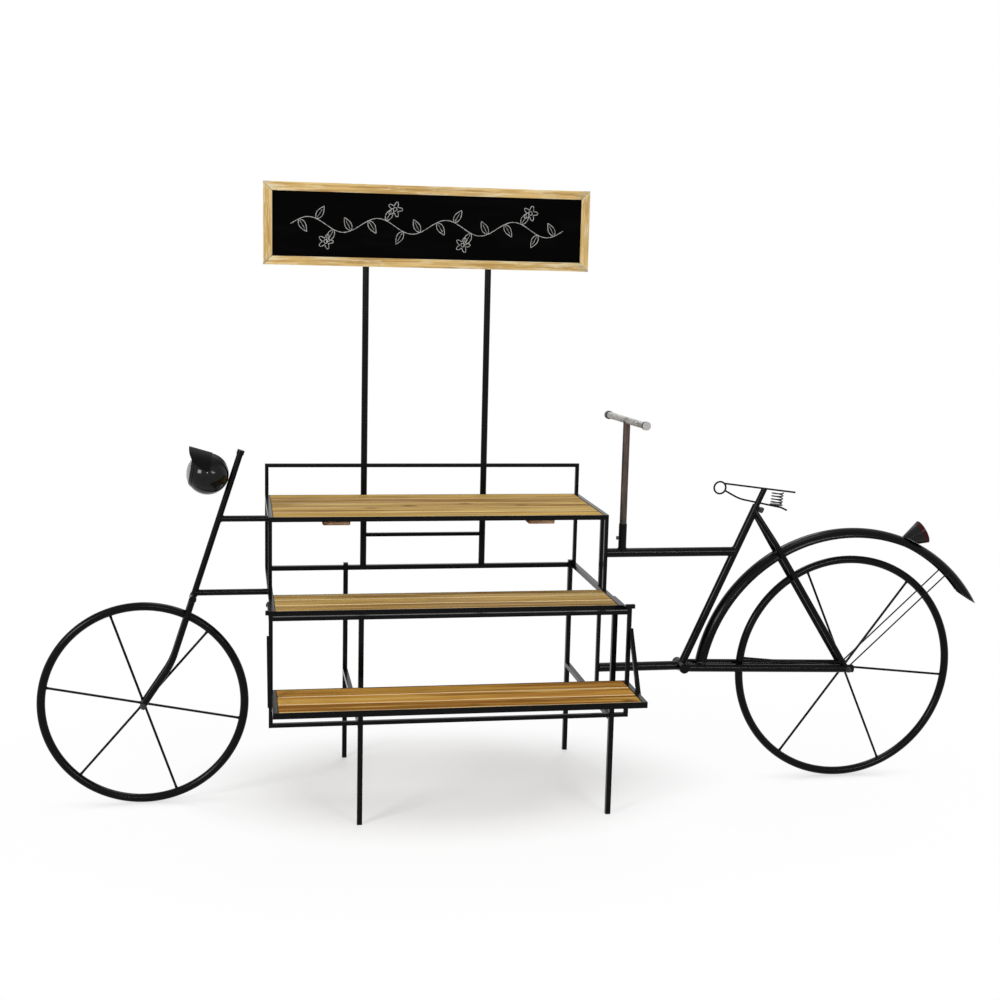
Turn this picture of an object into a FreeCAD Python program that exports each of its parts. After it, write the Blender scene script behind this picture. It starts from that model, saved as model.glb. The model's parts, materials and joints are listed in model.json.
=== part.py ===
import FreeCAD, Part
import math
import os
import re

# A plant stand made as a bicycle: a steel rack with three slatted shelves stands between a front wheel
# with its fork and headlamp and a rear frame with its wheel, mudguard, saddle and handlebar.
# Sizes are in millimetres and degrees. A place is measured from the rack's left end (x), from the front
# edge of its top shelf, away from the viewer (y), and from the floor (z).
SIZES = (
    # shelves: angle-iron frames with slats lying in them
    ("rack_width", 900),
    ("top_height", 770),
    ("top_depth", 360),
    ("top_ledge", 20),
    ("angle_height", 13),
    ("angle_wall", 2),
    ("frame_side", 12),
    ("slat_gap", 3),
    ("slat_play", 1),
    ("batten_width", 72),
    ("batten_thickness", 17),
    ("batten_inset", 177),
    ("batten_setback", 30),
    ("shelf_drop", 204),
    ("mid_depth", 180),
    ("mid_ledge", 20),
    # bars, legs and feet
    ("bar_side", 10),
    ("tube_side", 13),
    ("tube_wall", 1.5),
    ("railing_rise", 88),
    ("leg_inset", 226),
    ("front_leg_inset", 10),
    ("back_leg_rise", 10),
    ("stretcher_height", 262),
    ("foot_cap_height", 3),
    ("foot_cap_plug", 12),
    ("foot_cap_play", 0.1),
    # hanging lower tier
    ("tier_gap", 55),
    ("tier_drop", 278),
    ("tier_rise", 16),
    ("tier_rail_drop", 9),
    ("peg_height", 10),
    ("peg_out", 8),
    ("peg_in", 5),
    ("bottom_drop", 181),
    ("bottom_depth", 190),
    ("bottom_angle_height", 15),
    ("bottom_ledge", 20),
    ("strap_thickness", 5),
    ("strap_width", 13),
    ("arm_reach", 105),
    ("strut_drop", 45),
    ("strut_out", 98),
    ("strut_width", 12),
    ("strut_thickness", 10),
    # sign
    ("sign_height", 223),
    ("sign_rise", 638),
    ("sign_bar", 24),
    ("sign_thickness", 20),
    ("sign_overhang", 4),
    ("chalk_thickness", 6),
    ("chalk_setback", 6),
    ("chalk_rebate", 8),
    ("chalk_play", 0.2),
    ("sign_post_diameter", 18),
    ("sign_post_left", 278),
    ("sign_post_spacing", 344),
    ("sign_post_drop", 11),
    ("sign_post_cover", 182),
    ("sign_post_gap", 0.2),
    ("crossbar_drop", 119),
    # wheels and axles
    ("bike_setback", 50),
    ("rim_radius", 11),
    ("front_wheel_radius", 259),
    ("rear_wheel_radius", 309),
    ("wheel_lift", 1),
    ("front_hub_x", -320),
    ("chain_run", 479),
    ("spoke_diameter", 4),
    ("hub_diameter", 18),
    ("hub_play", 0.5),
    ("front_spoke_angle", 49),
    ("rear_spoke_angle", 54),
    ("axle_diameter", 8),
    ("axle_play", 0.05),
    ("axle_end", 3),
    ("nut_width", 14),
    ("nut_height", 6),
    # fork and the tubes that hold it to the rack
    ("fork_diameter", 16),
    ("fork_spread", 21),
    ("fork_top_x", -70.6),
    ("fork_rise", 156),
    ("fork_bend_x", -247.5),
    ("fork_bend_rise", 109),
    ("fork_bend_radius", 200),
    ("fork_tip", 9),
    ("fork_cap_diameter", 19),
    ("fork_cap_height", 12),
    ("crown_diameter", 18),
    ("crown_drop", 13),
    ("front_tube_diameter", 16),
    ("front_upper_drop", 11.5),
    ("front_lower_drop", 2),
    # headlamp
    ("lamp_radius", 54),
    ("lamp_gap", 0.4),
    ("lamp_rise", 106),
    ("lamp_tilt", 9.3),
    ("lamp_wall", 2),
    ("lamp_mouth_radius", 34),
    ("lamp_ring_back", 37),
    ("lamp_ring_front", 44.4),
    ("lamp_ring_radius", 40.5),
    ("lamp_ring_lip", 34),
    ("lamp_ring_bore", 32.5),
    ("lens_play", 0.1),
    ("lens_back", 41),
    ("lens_front", 53.6),
    ("lens_curve", 60),
    ("visor_play", 0.1),
    ("visor_wall", 1.5),
    ("visor_back", 4),
    ("visor_front", 56.3),
    ("visor_flare", 7.2),
    ("visor_edge_radius", 57.4),
    ("visor_edge_above", 72.4),
    ("lamp_bolt_diameter", 6),
    ("lamp_bolt_depth", 11),
    ("lamp_bolt_head", 11),
    ("lamp_bolt_head_height", 4),
    ("lamp_bolt_seat", 0.5),
    # rear frame
    ("lower_post_overlap", 50),
    ("top_tube_diameter", 25),
    ("top_tube_drop", 113),
    ("lower_tube_diameter", 25),
    ("bracket_out", 234),
    ("bracket_rise", 15),
    ("bracket_diameter", 28),
    ("seat_tube_diameter", 22),
    ("seat_setback", 197),
    ("seat_rise", 16),
    ("seat_bore_depth", 170),
    ("chain_stay_diameter", 22),
    ("chain_stay_wall", 2),
    ("chain_stay_spread", 26),
    ("chain_stay_tail", 18),
    ("seat_stay_diameter", 15),
    ("seat_stay_drop", 16),
    ("seat_stay_top_spread", 7.7),
    ("seat_stay_bend_out", 53),
    ("seat_stay_bend_drop", 106),
    ("seat_stay_bend_radius", 60),
    # mudguard and tail lamp
    ("guard_shift", 3),
    ("guard_drop", 48),
    ("guard_radius", 424),
    ("guard_width", 46),
    ("guard_wall", 2),
    ("guard_front_angle", 170),
    ("guard_tip_angle", 30),
    ("guard_tail_cut", 147.6),
    ("guard_stay_diameter", 4),
    ("guard_stay_angle", 48.4),
    ("guard_stay_play", 0.1),
    ("guard_stay_end", 7),
    ("tail_angle", 64.05),
    ("tail_stand", 35.13),
    ("tail_tilt", 26.2),
    ("tail_radius", 34),
    ("tail_back_radius", 13),
    ("tail_length", 62),
    ("tail_lens_depth", 11),
    ("tail_seat_play", 0.05),
    # handlebar
    ("handlebar_out", 53),
    ("handlebar_rise", 362),
    ("handlebar_length", 280),
    ("handlebar_angle", 6.6),
    ("handlebar_diameter", 18),
    ("handlebar_post_diameter", 19),
    ("handlebar_cap_diameter", 23),
    ("handlebar_cap_height", 10),
    ("handlebar_cap_floor", 3),
    ("socket_diameter", 22),
    ("socket_height", 80),
    ("socket_floor", 4),
    ("post_play", 0.05),
    ("post_end_play", 0.3),
    # saddle
    ("seat_post_diameter", 16),
    ("seat_post_depth", 150),
    ("saddle_wire", 5),
    ("nose_ahead", 108),
    ("nose_rise", 49),
    ("nose_radius", 16.5),
    ("top_wire_out", 110),
    ("top_wire_end_rise", 35),
    ("low_wire_bend_ahead", 51),
    ("low_wire_bend_rise", 18),
    ("low_wire_post_out", 3),
    ("low_wire_post_rise", 7),
    ("low_wire_radius", 110),
    ("tail_wire_bend_out", 71),
    ("tail_wire_bend_drop", 7),
    ("tail_wire_end_out", 88),
    ("tail_wire_end_drop", 15),
    ("tail_wire_radius", 20),
    ("spring_out", 56),
    ("spring_tilt", 5),
    ("spring_radius", 15.25),
    ("spring_wire", 3.5),
    ("spring_foot", 8.5),
    ("spring_height", 31),
    ("spring_seat_diameter", 36),
    ("spring_seat_height", 2),
    ("spring_seat_top", 6.4),
    ("spring_stub_diameter", 8),
    # clamp screws
    ("screw_diameter", 6),
    ("screw_play", 0.05),
    ("screw_point_play", 0.3),
    ("screw_neck", 3),
    ("screw_head_width", 14),
    ("screw_head_height", 9),
    ("seat_screw_drop", 7),
    ("socket_screw_rise", 41),
    ("socket_screw_neck", 1),
    ("socket_screw_head_width", 9),
    ("socket_screw_head_height", 5),
    # how far a cutting solid runs past what it cuts
    ("overrun", 5),
)

# Places and lengths that follow from the sizes: each is a sum of sizes and of other places.
PLACES = {
    "base_top": "top_height - shelf_drop",
    "tier_foot": "base_top - tier_drop",
    "tier_head": "base_top + tier_rise",
    "tier_rail_height": "base_top - tier_rail_drop",
    "bottom_height": "base_top - bottom_drop",
    "strut_top": "base_top - strut_drop",
    "sign_width": "rack_width + sign_overhang + sign_overhang",
    "sign_bottom": "top_height + sign_rise",
    "sign_post_right": "sign_post_left + sign_post_spacing",
    "sign_post_foot": "base_top - sign_post_drop",
    "sign_post_head": "sign_bottom + sign_post_cover",
    "crossbar_height": "top_height - crossbar_drop",
    "rim_diameter": "rim_radius + rim_radius",
    "front_hub_z": "front_wheel_radius + rim_radius + wheel_lift",
    "rear_hub_z": "rear_wheel_radius + rim_radius + wheel_lift",
    "rear_hub_x": "bracket_x + chain_run",
    "fork_top_z": "top_height + fork_rise",
    "fork_bend_z": "front_hub_z + fork_bend_rise",
    "crown_z": "base_top - crown_drop",
    "front_upper_z": "top_height - front_upper_drop",
    "front_lower_z": "base_top - front_lower_drop",
    "lamp_z": "top_height + lamp_rise",
    "top_tube_z": "top_height - top_tube_drop",
    "bracket_x": "rack_width + bracket_out",
    "bracket_z": "rear_hub_z + bracket_rise",
    "seat_top_x": "bracket_x + seat_setback",
    "seat_top_z": "top_height + seat_rise",
    "seat_stay_top_z": "seat_top_z - seat_stay_drop",
    "seat_stay_bend_x": "seat_top_x + seat_stay_bend_out",
    "seat_stay_bend_z": "seat_top_z - seat_stay_bend_drop",
    "guard_x": "rear_hub_x + guard_shift",
    "guard_z": "rear_hub_z - guard_drop",
    "handlebar_x": "rack_width + handlebar_out",
    "handlebar_z": "top_tube_z + handlebar_rise",
    "nose_x": "seat_top_x - nose_ahead",
    "nose_z": "seat_top_z + nose_rise",
    "top_wire_end_x": "seat_top_x + top_wire_out",
    "top_wire_end_z": "seat_top_z + top_wire_end_rise",
    "low_wire_bend_x": "seat_top_x - low_wire_bend_ahead",
    "low_wire_bend_z": "seat_top_z + low_wire_bend_rise",
    "low_wire_post_x": "seat_top_x + low_wire_post_out",
    "low_wire_post_z": "seat_top_z + low_wire_post_rise",
    "tail_wire_bend_x": "seat_top_x + tail_wire_bend_out",
    "tail_wire_bend_z": "seat_top_z - tail_wire_bend_drop",
    "tail_wire_end_x": "seat_top_x + tail_wire_end_out",
    "tail_wire_end_z": "seat_top_z - tail_wire_end_drop",
    "spring_x": "seat_top_x + spring_out",
}

TOP_SLATS = 5
MID_SLATS = 3
BOTTOM_SLATS = 3
SPOKES = 6
SPRING_TURNS = 4
BIARCS_PER_TURN = 4

doc = FreeCAD.newDocument("BicyclePlantStand")
sheet = doc.addObject("Spreadsheet::Sheet", "Sizes")
for row, (alias, value) in enumerate(SIZES, start=1):
    sheet.set(f"A{row}", alias)
    sheet.set(f"B{row}", str(value))
    sheet.setAlias(f"B{row}", alias)
doc.recompute()

ALIASES = {alias for alias, value in SIZES}
WORD = re.compile(r"[a-z][a-z0-9_]*")
ALONG_X = FreeCAD.Vector(1, 0, 0)
ALONG_Y = FreeCAD.Vector(0, 1, 0)
ALONG_Z = FreeCAD.Vector(0, 0, 1)
DIAGONAL = FreeCAD.Vector(1, 1, 1)

# Levels and planes that several pieces share.
RIGHT_LEG_X = "(rack_width - 1.5 * tube_side)"
FRONT_LEG_Y = "(front_leg_inset - mid_depth)"
BACK_LEG_Y = "(top_depth + bar_side - 1.5 * tube_side)"
TOP_UNDER = "(top_height - angle_height)"
BASE_TOP = "base_top"
BASE_UNDER = f"({BASE_TOP} - tube_side)"
RACK_BACK = "(top_depth + bar_side)"
TIER_BACK = "(-mid_depth - tier_gap)"
TIER_FRONT = f"({TIER_BACK} - bar_side)"
BOTTOM_UNDER = "(bottom_height - bottom_angle_height)"
BOTTOM_FRONT = f"({TIER_FRONT} - bottom_depth)"
BIKE_Y = "bike_setback"
GUARD_CROWN = "(guard_radius + guard_width / 2)"

# The part's origin is on the floor under the middle of its whole length and depth: from the front wheel's
# edge to the mudguard's tip, and from the bottom shelf's front to the back of the sign's posts.
FRONT_END = "(front_hub_x - front_wheel_radius - rim_radius)"
REAR_END = f"(guard_x + {GUARD_CROWN} * cos(guard_tip_angle))"
ORIGIN_X = f"(({FRONT_END} + {REAR_END}) / 2)"
ORIGIN_Y = f"(({BOTTOM_FRONT} + {RACK_BACK} + sign_post_gap + sign_post_diameter) / 2)"
FRONT_HUB_Z = "front_hub_z"
REAR_HUB_Z = "rear_hub_z"

sub_parts = []


def cell(word):
    """A name as the sheet knows it: a place is opened up into the sizes it is the sum of."""
    name = word[0]
    if name in PLACES:
        return f"({bound(PLACES[name])})"
    return f"Sizes.{name}" if name in ALIASES else name


def bound(text):
    """An expression in plain names, with each size's name pointed at its cell."""
    return WORD.sub(cell, text)


def size(name):
    """The number of a size, or of a place as the sum of its terms."""
    if name in ALIASES:
        return float(sheet.get(name))
    total = 0
    sign = 1
    for word in PLACES[name].split():
        if word in ("+", "-"):
            sign = 1 if word == "+" else -1
        else:
            total += sign * size(word)
    return total


def bind(item, **expressions):
    for name, text in expressions.items():
        item.setExpression(name, bound(text))
    return item


def place(item, x, y, z, axis=None, turn="0"):
    """Put an object at a place of the rack, turned about an axis through that place."""
    if axis is not None:
        item.Placement = FreeCAD.Placement(FreeCAD.Vector(), FreeCAD.Rotation(axis, 1))
        item.setExpression("Placement.Rotation.Angle", bound(turn))
    item.setExpression("Placement.Base.x", bound(f"({x}) - {ORIGIN_X}"))
    item.setExpression("Placement.Base.y", bound(f"({y}) - {ORIGIN_Y}"))
    item.setExpression("Placement.Base.z", bound(z))
    return item


def box(x0, x1, y0, y1, z0, z1):
    """A straight-sided block between two corners."""
    block = doc.addObject("Part::Box", "Block")
    bind(block, Length=f"({x1}) - ({x0})", Width=f"({y1}) - ({y0})", Height=f"({z1}) - ({z0})")
    return place(block, x0, y0, z0)


def aimed_rod(x, y, z, tilt, length, diameter):
    """A round bar from a point, leaning from upright towards +x by the tilt."""
    bar = doc.addObject("Part::Cylinder", "Rod")
    bind(bar, Radius=f"({diameter}) / 2", Height=length)
    return place(bar, x, y, z, ALONG_Y, tilt)


def rod(start, end, y, diameter):
    """A round bar between two points (x, z) of one upright plane."""
    across = f"(({end[0]}) - ({start[0]}))"
    rise = f"(({end[1]}) - ({start[1]}))"
    length = f"sqrt({across} ^ 2 + {rise} ^ 2)"
    return aimed_rod(start[0], y, start[1], f"atan2({across}; {rise})", length, diameter)


def upright_rod(x, y, z0, z1, diameter):
    bar = doc.addObject("Part::Cylinder", "Rod")
    bind(bar, Radius=f"({diameter}) / 2", Height=f"({z1}) - ({z0})")
    return place(bar, x, y, z0)


def cross_rod(x, z, reach, diameter):
    """A round bar across the bicycle, reaching as far to each side of its plane."""
    bar = doc.addObject("Part::Cylinder", "Rod")
    bind(bar, Radius=f"({diameter}) / 2", Height=f"2 * ({reach})")
    return place(bar, x, f"{BIKE_Y} - ({reach})", z, ALONG_X, "-90")


def ball(x, z, radius):
    solid = doc.addObject("Part::Sphere", "Ball")
    bind(solid, Radius=radius)
    return place(solid, x, BIKE_Y, z)


def aimed_cone(x, z, tilt, length, back_radius, front_radius):
    """A tapered round solid from a point of the bicycle's plane, leaning towards +x by the tilt."""
    solid = doc.addObject("Part::Cone", "Taper")
    bind(solid, Radius1=back_radius, Radius2=front_radius, Height=length)
    return place(solid, x, BIKE_Y, z, ALONG_Y, tilt)


def aimed_hex(x, z, tilt, height, width):
    """A six-sided head on the bicycle's plane, with its width measured across the flats."""
    head = doc.addObject("Part::Prism", "HexHead")
    head.Polygon = 6
    bind(head, Circumradius=f"({width}) / 2 / cos(30)", Height=height)
    return place(head, x, BIKE_Y, z, ALONG_Y, tilt)


def ring(x, z, radius, diameter):
    """A round bar bent to a ring in the bicycle's plane."""
    hoop = doc.addObject("Part::Torus", "Ring")
    bind(hoop, Radius1=radius, Radius2=f"({diameter}) / 2")
    return place(hoop, x, BIKE_Y, z, ALONG_X, "90")


def cut(base, *tools):
    for tool in tools:
        result = doc.addObject("Part::Cut", "Cut")
        result.Base = base
        result.Tool = tool
        base = result
    return base


def fuse(*solids):
    result = doc.addObject("Part::MultiFuse", "Joined")
    result.Shapes = list(solids)
    return result


def common(base, tool):
    result = doc.addObject("Part::Common", "Shared")
    result.Base = base
    result.Tool = tool
    return result


def node(name, *solids):
    """Name a sub-part, which is one solid or a set of like solids."""
    item = solids[0]
    if len(solids) > 1:
        item = doc.addObject("Part::Compound", "Set")
        item.Links = list(solids)
    item.Label = name
    sub_parts.append(item)
    return item


def angle_frame(front, back, top, height, ledge):
    """Two angle irons between square side bars, with a ledge all round at the foot for the slats."""
    outline = box("0", "rack_width", front, back, f"{top} - {height}", top)
    seat = box("frame_side", "rack_width - frame_side", f"{front} + angle_wall", f"{back} - angle_wall",
               f"{top} - {height} + angle_wall", f"{top} + overrun")
    window = box(ledge, f"rack_width - {ledge}", f"{front} + {ledge}", f"{back} - {ledge}",
                 f"{top} - {height} - overrun", f"{top} + overrun")
    return cut(outline, seat, window)


def slats(count, front, back, top, height):
    """Boards along the shelf, evenly spaced and flush with the frame's top."""
    first = f"({front} + angle_wall + slat_play)"
    width = f"(({back} - angle_wall - slat_play - {first} - {count - 1} * slat_gap) / {count})"
    boards = []
    for index in range(count):
        edge = f"({first} + {index} * ({width} + slat_gap))"
        boards.append(box("frame_side + slat_play", "rack_width - frame_side - slat_play",
                          edge, f"{edge} + {width}", f"{top} - {height} + angle_wall", top))
    return boards


def leg(x, y, top):
    """A square tube on a foot cap, closed at its top."""
    half = "tube_side / 2"
    bore = "(tube_side / 2 - tube_wall)"
    outside = box(f"{x} - {half}", f"{x} + {half}", f"{y} - {half}", f"{y} + {half}",
                  "foot_cap_height", top)
    inside = box(f"{x} - {bore}", f"{x} + {bore}", f"{y} - {bore}", f"{y} + {bore}",
                 "foot_cap_height - overrun", f"{top} - tube_wall")
    return cut(outside, inside)


def foot_cap(x, y):
    """A pad under a leg with a plug that goes up into it."""
    half = "tube_side / 2"
    plug = "(tube_side / 2 - tube_wall - foot_cap_play)"
    pad = box(f"{x} - {half}", f"{x} + {half}", f"{y} - {half}", f"{y} + {half}", "0", "foot_cap_height")
    stem = box(f"{x} - {plug}", f"{x} + {plug}", f"{y} - {plug}", f"{y} + {plug}",
               "foot_cap_height", "foot_cap_height + foot_cap_plug")
    return fuse(pad, stem)


def wedge(far_start, far_end, near_start, near_end, depth, thickness):
    """A flat bar whose two long edges have their own start and end, as a mitred or a slanted bar has."""
    solid = doc.addObject("Part::Wedge", "SlantBar")
    bind(solid, Xmin=near_start, Xmax=near_end, X2min=far_start, X2max=far_end, Ymin="0", Ymax=depth,
         Zmin="0", Zmax=thickness, Z2min="0", Z2max=thickness)
    return solid


def bent_path(points, radius):
    """Straight runs through the points, with a tangent arc of one radius at each inner point."""
    edges = []
    start = points[0]
    for before, corner, after in zip(points, points[1:], points[2:]):
        back = (before - corner).normalize()
        ahead = (after - corner).normalize()
        half_turn = (math.pi - back.getAngle(ahead)) / 2
        reach = radius * math.tan(half_turn)
        inward = (back + ahead).normalize()
        enter = corner + back * reach
        leave = corner + ahead * reach
        middle = corner + inward * (radius / math.cos(half_turn) - radius)
        edges.append(Part.LineSegment(start, enter).toShape())
        edges.append(Part.Arc(enter, middle, leave).toShape())
        start = leave
    edges.append(Part.LineSegment(start, points[-1]).toShape())
    return Part.Wire(edges)


def swept_bar(path, diameter):
    """A round bar along a path, at the rack's place."""
    first = path.Edges[0]
    start = first.valueAt(first.FirstParameter)
    heading = first.tangentAt(first.FirstParameter)
    section = Part.Wire(Part.makeCircle(diameter / 2, start, heading))
    bar = doc.addObject("Part::Feature", "BentBar")
    bar.Shape = path.makePipeShell([section], True, False)
    bar.Placement = FreeCAD.Placement(FreeCAD.Vector(-origin.x, -origin.y, 0), FreeCAD.Rotation())
    return bar


# Plain values for the pieces that are bent along a path.
front_end = size("front_hub_x") - size("front_wheel_radius") - size("rim_radius")
guard_crown = size("guard_radius") + size("guard_width") / 2
rear_end = size("guard_x") + guard_crown * math.cos(math.radians(size("guard_tip_angle")))
shelf_front = -size("mid_depth") - size("tier_gap") - size("bar_side") - size("bottom_depth")
post_back = size("top_depth") + size("bar_side") + size("sign_post_gap") + size("sign_post_diameter")
origin = FreeCAD.Vector((front_end + rear_end) / 2, (shelf_front + post_back) / 2, 0)
bike_y = size("bike_setback")

# Top shelf, with its posts and railing.
node("top_shelf_frame", angle_frame("0", "top_depth", "top_height", "angle_height", "top_ledge"))
node("top_shelf_slats", *slats(TOP_SLATS, "0", "top_depth", "top_height", "angle_height"))
battens = []
for centre in ("batten_inset", "(rack_width - batten_inset)"):
    battens.append(box(f"{centre} - batten_width / 2", f"{centre} + batten_width / 2",
                       "batten_setback", "top_depth - batten_setback",
                       f"{TOP_UNDER} + angle_wall - batten_thickness", f"{TOP_UNDER} + angle_wall"))
node("top_shelf_battens", *battens)
posts = []
for left in ("0", "(rack_width - bar_side)"):
    right = f"{left} + bar_side"
    posts.append(box(left, right, "0", "bar_side", BASE_TOP, TOP_UNDER))
    posts.append(box(left, right, "top_depth", RACK_BACK, BASE_TOP, "top_height + railing_rise - bar_side"))
node("shelf_posts", *posts)
node("railing_bar", box("0", "rack_width", "top_depth", RACK_BACK,
                        "top_height + railing_rise - bar_side", "top_height + railing_rise"))

# Base: a back rail, two side rails and the mid shelf in front of them.
node("base_back_rail", box("0", "rack_width", f"{RACK_BACK} - tube_side", RACK_BACK, BASE_UNDER, BASE_TOP))
side_rails = []
for left in ("0", "(rack_width - tube_side)"):
    side_rails.append(box(left, f"{left} + tube_side", "0", f"{RACK_BACK} - tube_side",
                          BASE_UNDER, BASE_TOP))
node("base_side_rails", *side_rails)
node("mid_shelf_frame", angle_frame("-mid_depth", "0", BASE_TOP, "angle_height", "mid_ledge"))
node("mid_shelf_slats", *slats(MID_SLATS, "-mid_depth", "0", BASE_TOP, "angle_height"))

# Legs: the front pair carries the mid shelf, the back pair is fixed to the back rail's inner face.
legs = []
caps = []
stretchers = []
for x in ("leg_inset", RIGHT_LEG_X):
    legs.append(leg(x, FRONT_LEG_Y, f"{BASE_TOP} - angle_height"))
    legs.append(leg(x, BACK_LEG_Y, f"{BASE_TOP} + back_leg_rise"))
    caps.append(foot_cap(x, FRONT_LEG_Y))
    caps.append(foot_cap(x, BACK_LEG_Y))
    stretchers.append(box(f"{x} - tube_side / 2", f"{x} + tube_side / 2",
                          f"{FRONT_LEG_Y} + tube_side / 2", f"{BACK_LEG_Y} - tube_side / 2",
                          "stretcher_height - tube_side / 2", "stretcher_height + tube_side / 2"))
node("legs", *legs)
node("foot_caps", *caps)
node("stretchers", *stretchers)

# Lower tier: a hanging frame in front of the mid shelf, held by two strap arms along the shelf's sides.
uprights = []
pegs = []
arms = []
struts = []
behind_tier = box("-strut_thickness - overrun", "rack_width + strut_thickness + overrun",
                  TIER_FRONT, f"{TIER_FRONT} + 2 * strut_width", "tier_foot", "tier_head")
for end, outer, inner in (("0", "-", "+"), ("rack_width", "+", "-")):
    uprights.append(box(f"{end} - bar_side / 2", f"{end} + bar_side / 2", TIER_FRONT, TIER_BACK,
                        "tier_foot", "tier_head - peg_height"))
    tip = f"{end} {outer} (bar_side / 2 + peg_out)"
    root = f"{end} {inner} (bar_side / 2 + peg_in)"
    low, high = (tip, root) if outer == "-" else (root, tip)
    pegs.append(box(low, high, TIER_FRONT, TIER_BACK, "tier_head - peg_height", "tier_head"))
    strap_left = "-strap_thickness" if outer == "-" else "rack_width"
    arms.append(box(strap_left, f"{strap_left} + strap_thickness", TIER_BACK, "arm_reach - mid_depth",
                    f"{BASE_TOP} - strap_width", BASE_TOP))
    slant = wedge("strut_out", "strut_out + strut_width", "0", "strut_width",
                  f"strut_top - {BOTTOM_UNDER}", "strut_thickness")
    strut_left = "-strut_thickness" if outer == "-" else "rack_width"
    place(slant, strut_left, f"{TIER_FRONT} - strut_out", BOTTOM_UNDER, DIAGONAL, "120")
    struts.append(cut(slant, behind_tier))
rails = []
for height in ("tier_rail_height", "tier_foot"):
    rails.append(box("bar_side / 2", "rack_width - bar_side / 2", TIER_FRONT, TIER_BACK,
                     height, f"{height} + bar_side"))
node("tier_bars", *uprights, *rails)
node("tier_pegs", *pegs)
node("tier_arms", *arms)
node("tier_struts", *struts)
node("bottom_shelf_frame",
     angle_frame(BOTTOM_FRONT, TIER_FRONT, "bottom_height", "bottom_angle_height", "bottom_ledge"))
node("bottom_shelf_slats",
     *slats(BOTTOM_SLATS, BOTTOM_FRONT, TIER_FRONT, "bottom_height", "bottom_angle_height"))

# Sign: two round posts behind the rack carry a mitred frame with a chalkboard in its groove.
POST_Y = f"({RACK_BACK} + sign_post_gap + sign_post_diameter / 2)"
sign_posts = []
for x in ("sign_post_left", "sign_post_right"):
    sign_posts.append(upright_rod(x, POST_Y, "sign_post_foot", "sign_post_head", "sign_post_diameter"))
node("sign_posts", *sign_posts)
crossbar = box("sign_post_left", "sign_post_right", f"{POST_Y} - bar_side / 2", f"{POST_Y} + bar_side / 2",
               "crossbar_height - bar_side / 2", "crossbar_height + bar_side / 2")
node("sign_crossbar", cut(crossbar, *sign_posts))

SIGN_LEFT = "(-sign_overhang)"
SIGN_FRONT = f"({RACK_BACK} - sign_thickness)"
SIGN_RIM = "(sign_bar - chalk_rebate)"


def panel(play):
    """The chalkboard's block, or its groove where there is play around it."""
    return box(f"{SIGN_LEFT} + {SIGN_RIM} - {play}", f"{SIGN_LEFT} + sign_width - {SIGN_RIM} + {play}",
               f"{SIGN_FRONT} + chalk_setback", f"{SIGN_FRONT} + chalk_setback + chalk_thickness",
               f"sign_bottom + {SIGN_RIM} - {play}", f"sign_bottom + sign_height - {SIGN_RIM} + {play}")


node("chalkboard", panel("0"))
groove = panel("chalk_play")
members = []
for run, axis, turn, thick_from in (("sign_width", ALONG_X, "90", RACK_BACK),
                                    ("sign_height", DIAGONAL, "-120", SIGN_FRONT)):
    outer_edge = ("0", run)
    inner_edge = ("sign_bar", f"{run} - sign_bar")
    first = wedge(*inner_edge, *outer_edge, "sign_bar", "sign_thickness")
    second = wedge(*outer_edge, *inner_edge, "sign_bar", "sign_thickness")
    place(first, SIGN_LEFT, thick_from, "sign_bottom", axis, turn)
    if run == "sign_width":
        place(second, SIGN_LEFT, thick_from, "sign_bottom + sign_height - sign_bar", axis, turn)
    else:
        place(second, f"{SIGN_LEFT} + sign_width - sign_bar", thick_from, "sign_bottom", axis, turn)
    members += [cut(first, groove), cut(second, groove)]
node("sign_frame", *members)

# Fork: a leaning steerer with a cap, a crown across its foot and two bent blades down to the hub.
FORK_LEAN = "((fork_top_x - fork_bend_x) / (fork_top_z - fork_bend_z))"
FORK_TILT = "atan2(fork_top_x - fork_bend_x; fork_top_z - fork_bend_z)"


def fork_x(z):
    return f"(fork_top_x - (fork_top_z - {z}) * {FORK_LEAN})"


steerer_bar = rod((fork_x("crown_z"), "crown_z"), ("fork_top_x", "fork_top_z"), BIKE_Y, "fork_diameter")
crown = cross_rod(fork_x("crown_z"), "crown_z", "fork_spread + fork_diameter / 2", "crown_diameter")
node("fork_crown", crown)
node("fork_cap", aimed_rod("fork_top_x", BIKE_Y, "fork_top_z", FORK_TILT, "fork_cap_height",
                           "fork_cap_diameter"))
front_axle = cross_rod("front_hub_x", FRONT_HUB_Z,
                       "fork_spread + fork_diameter / 2 + nut_height + axle_end", "axle_diameter")
lean = (size("fork_top_x") - size("fork_bend_x")) / (size("fork_top_z") - size("fork_bend_z"))
crown_x = size("fork_top_x") - (size("fork_top_z") - size("crown_z")) * lean
blades = []
for side in (-1, 1):
    y = bike_y + side * size("fork_spread")
    crown_point = FreeCAD.Vector(crown_x, y, size("crown_z"))
    bend_point = FreeCAD.Vector(size("fork_bend_x"), y, size("fork_bend_z"))
    hub_point = FreeCAD.Vector(size("front_hub_x"), y, size("front_hub_z"))
    tip_point = hub_point + (hub_point - bend_point).normalize() * size("fork_tip")
    path = bent_path((crown_point, bend_point, tip_point), size("fork_bend_radius"))
    blades.append(cut(swept_bar(path, size("fork_diameter")), crown, front_axle))
node("fork_blades", *blades)
front_tubes = []
for z in ("front_upper_z", "front_lower_z"):
    tube = rod((fork_x(z), z), ("0", z), BIKE_Y, "front_tube_diameter")
    front_tubes.append(cut(tube, steerer_bar, crown))
node("front_tubes", *front_tubes)

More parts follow.
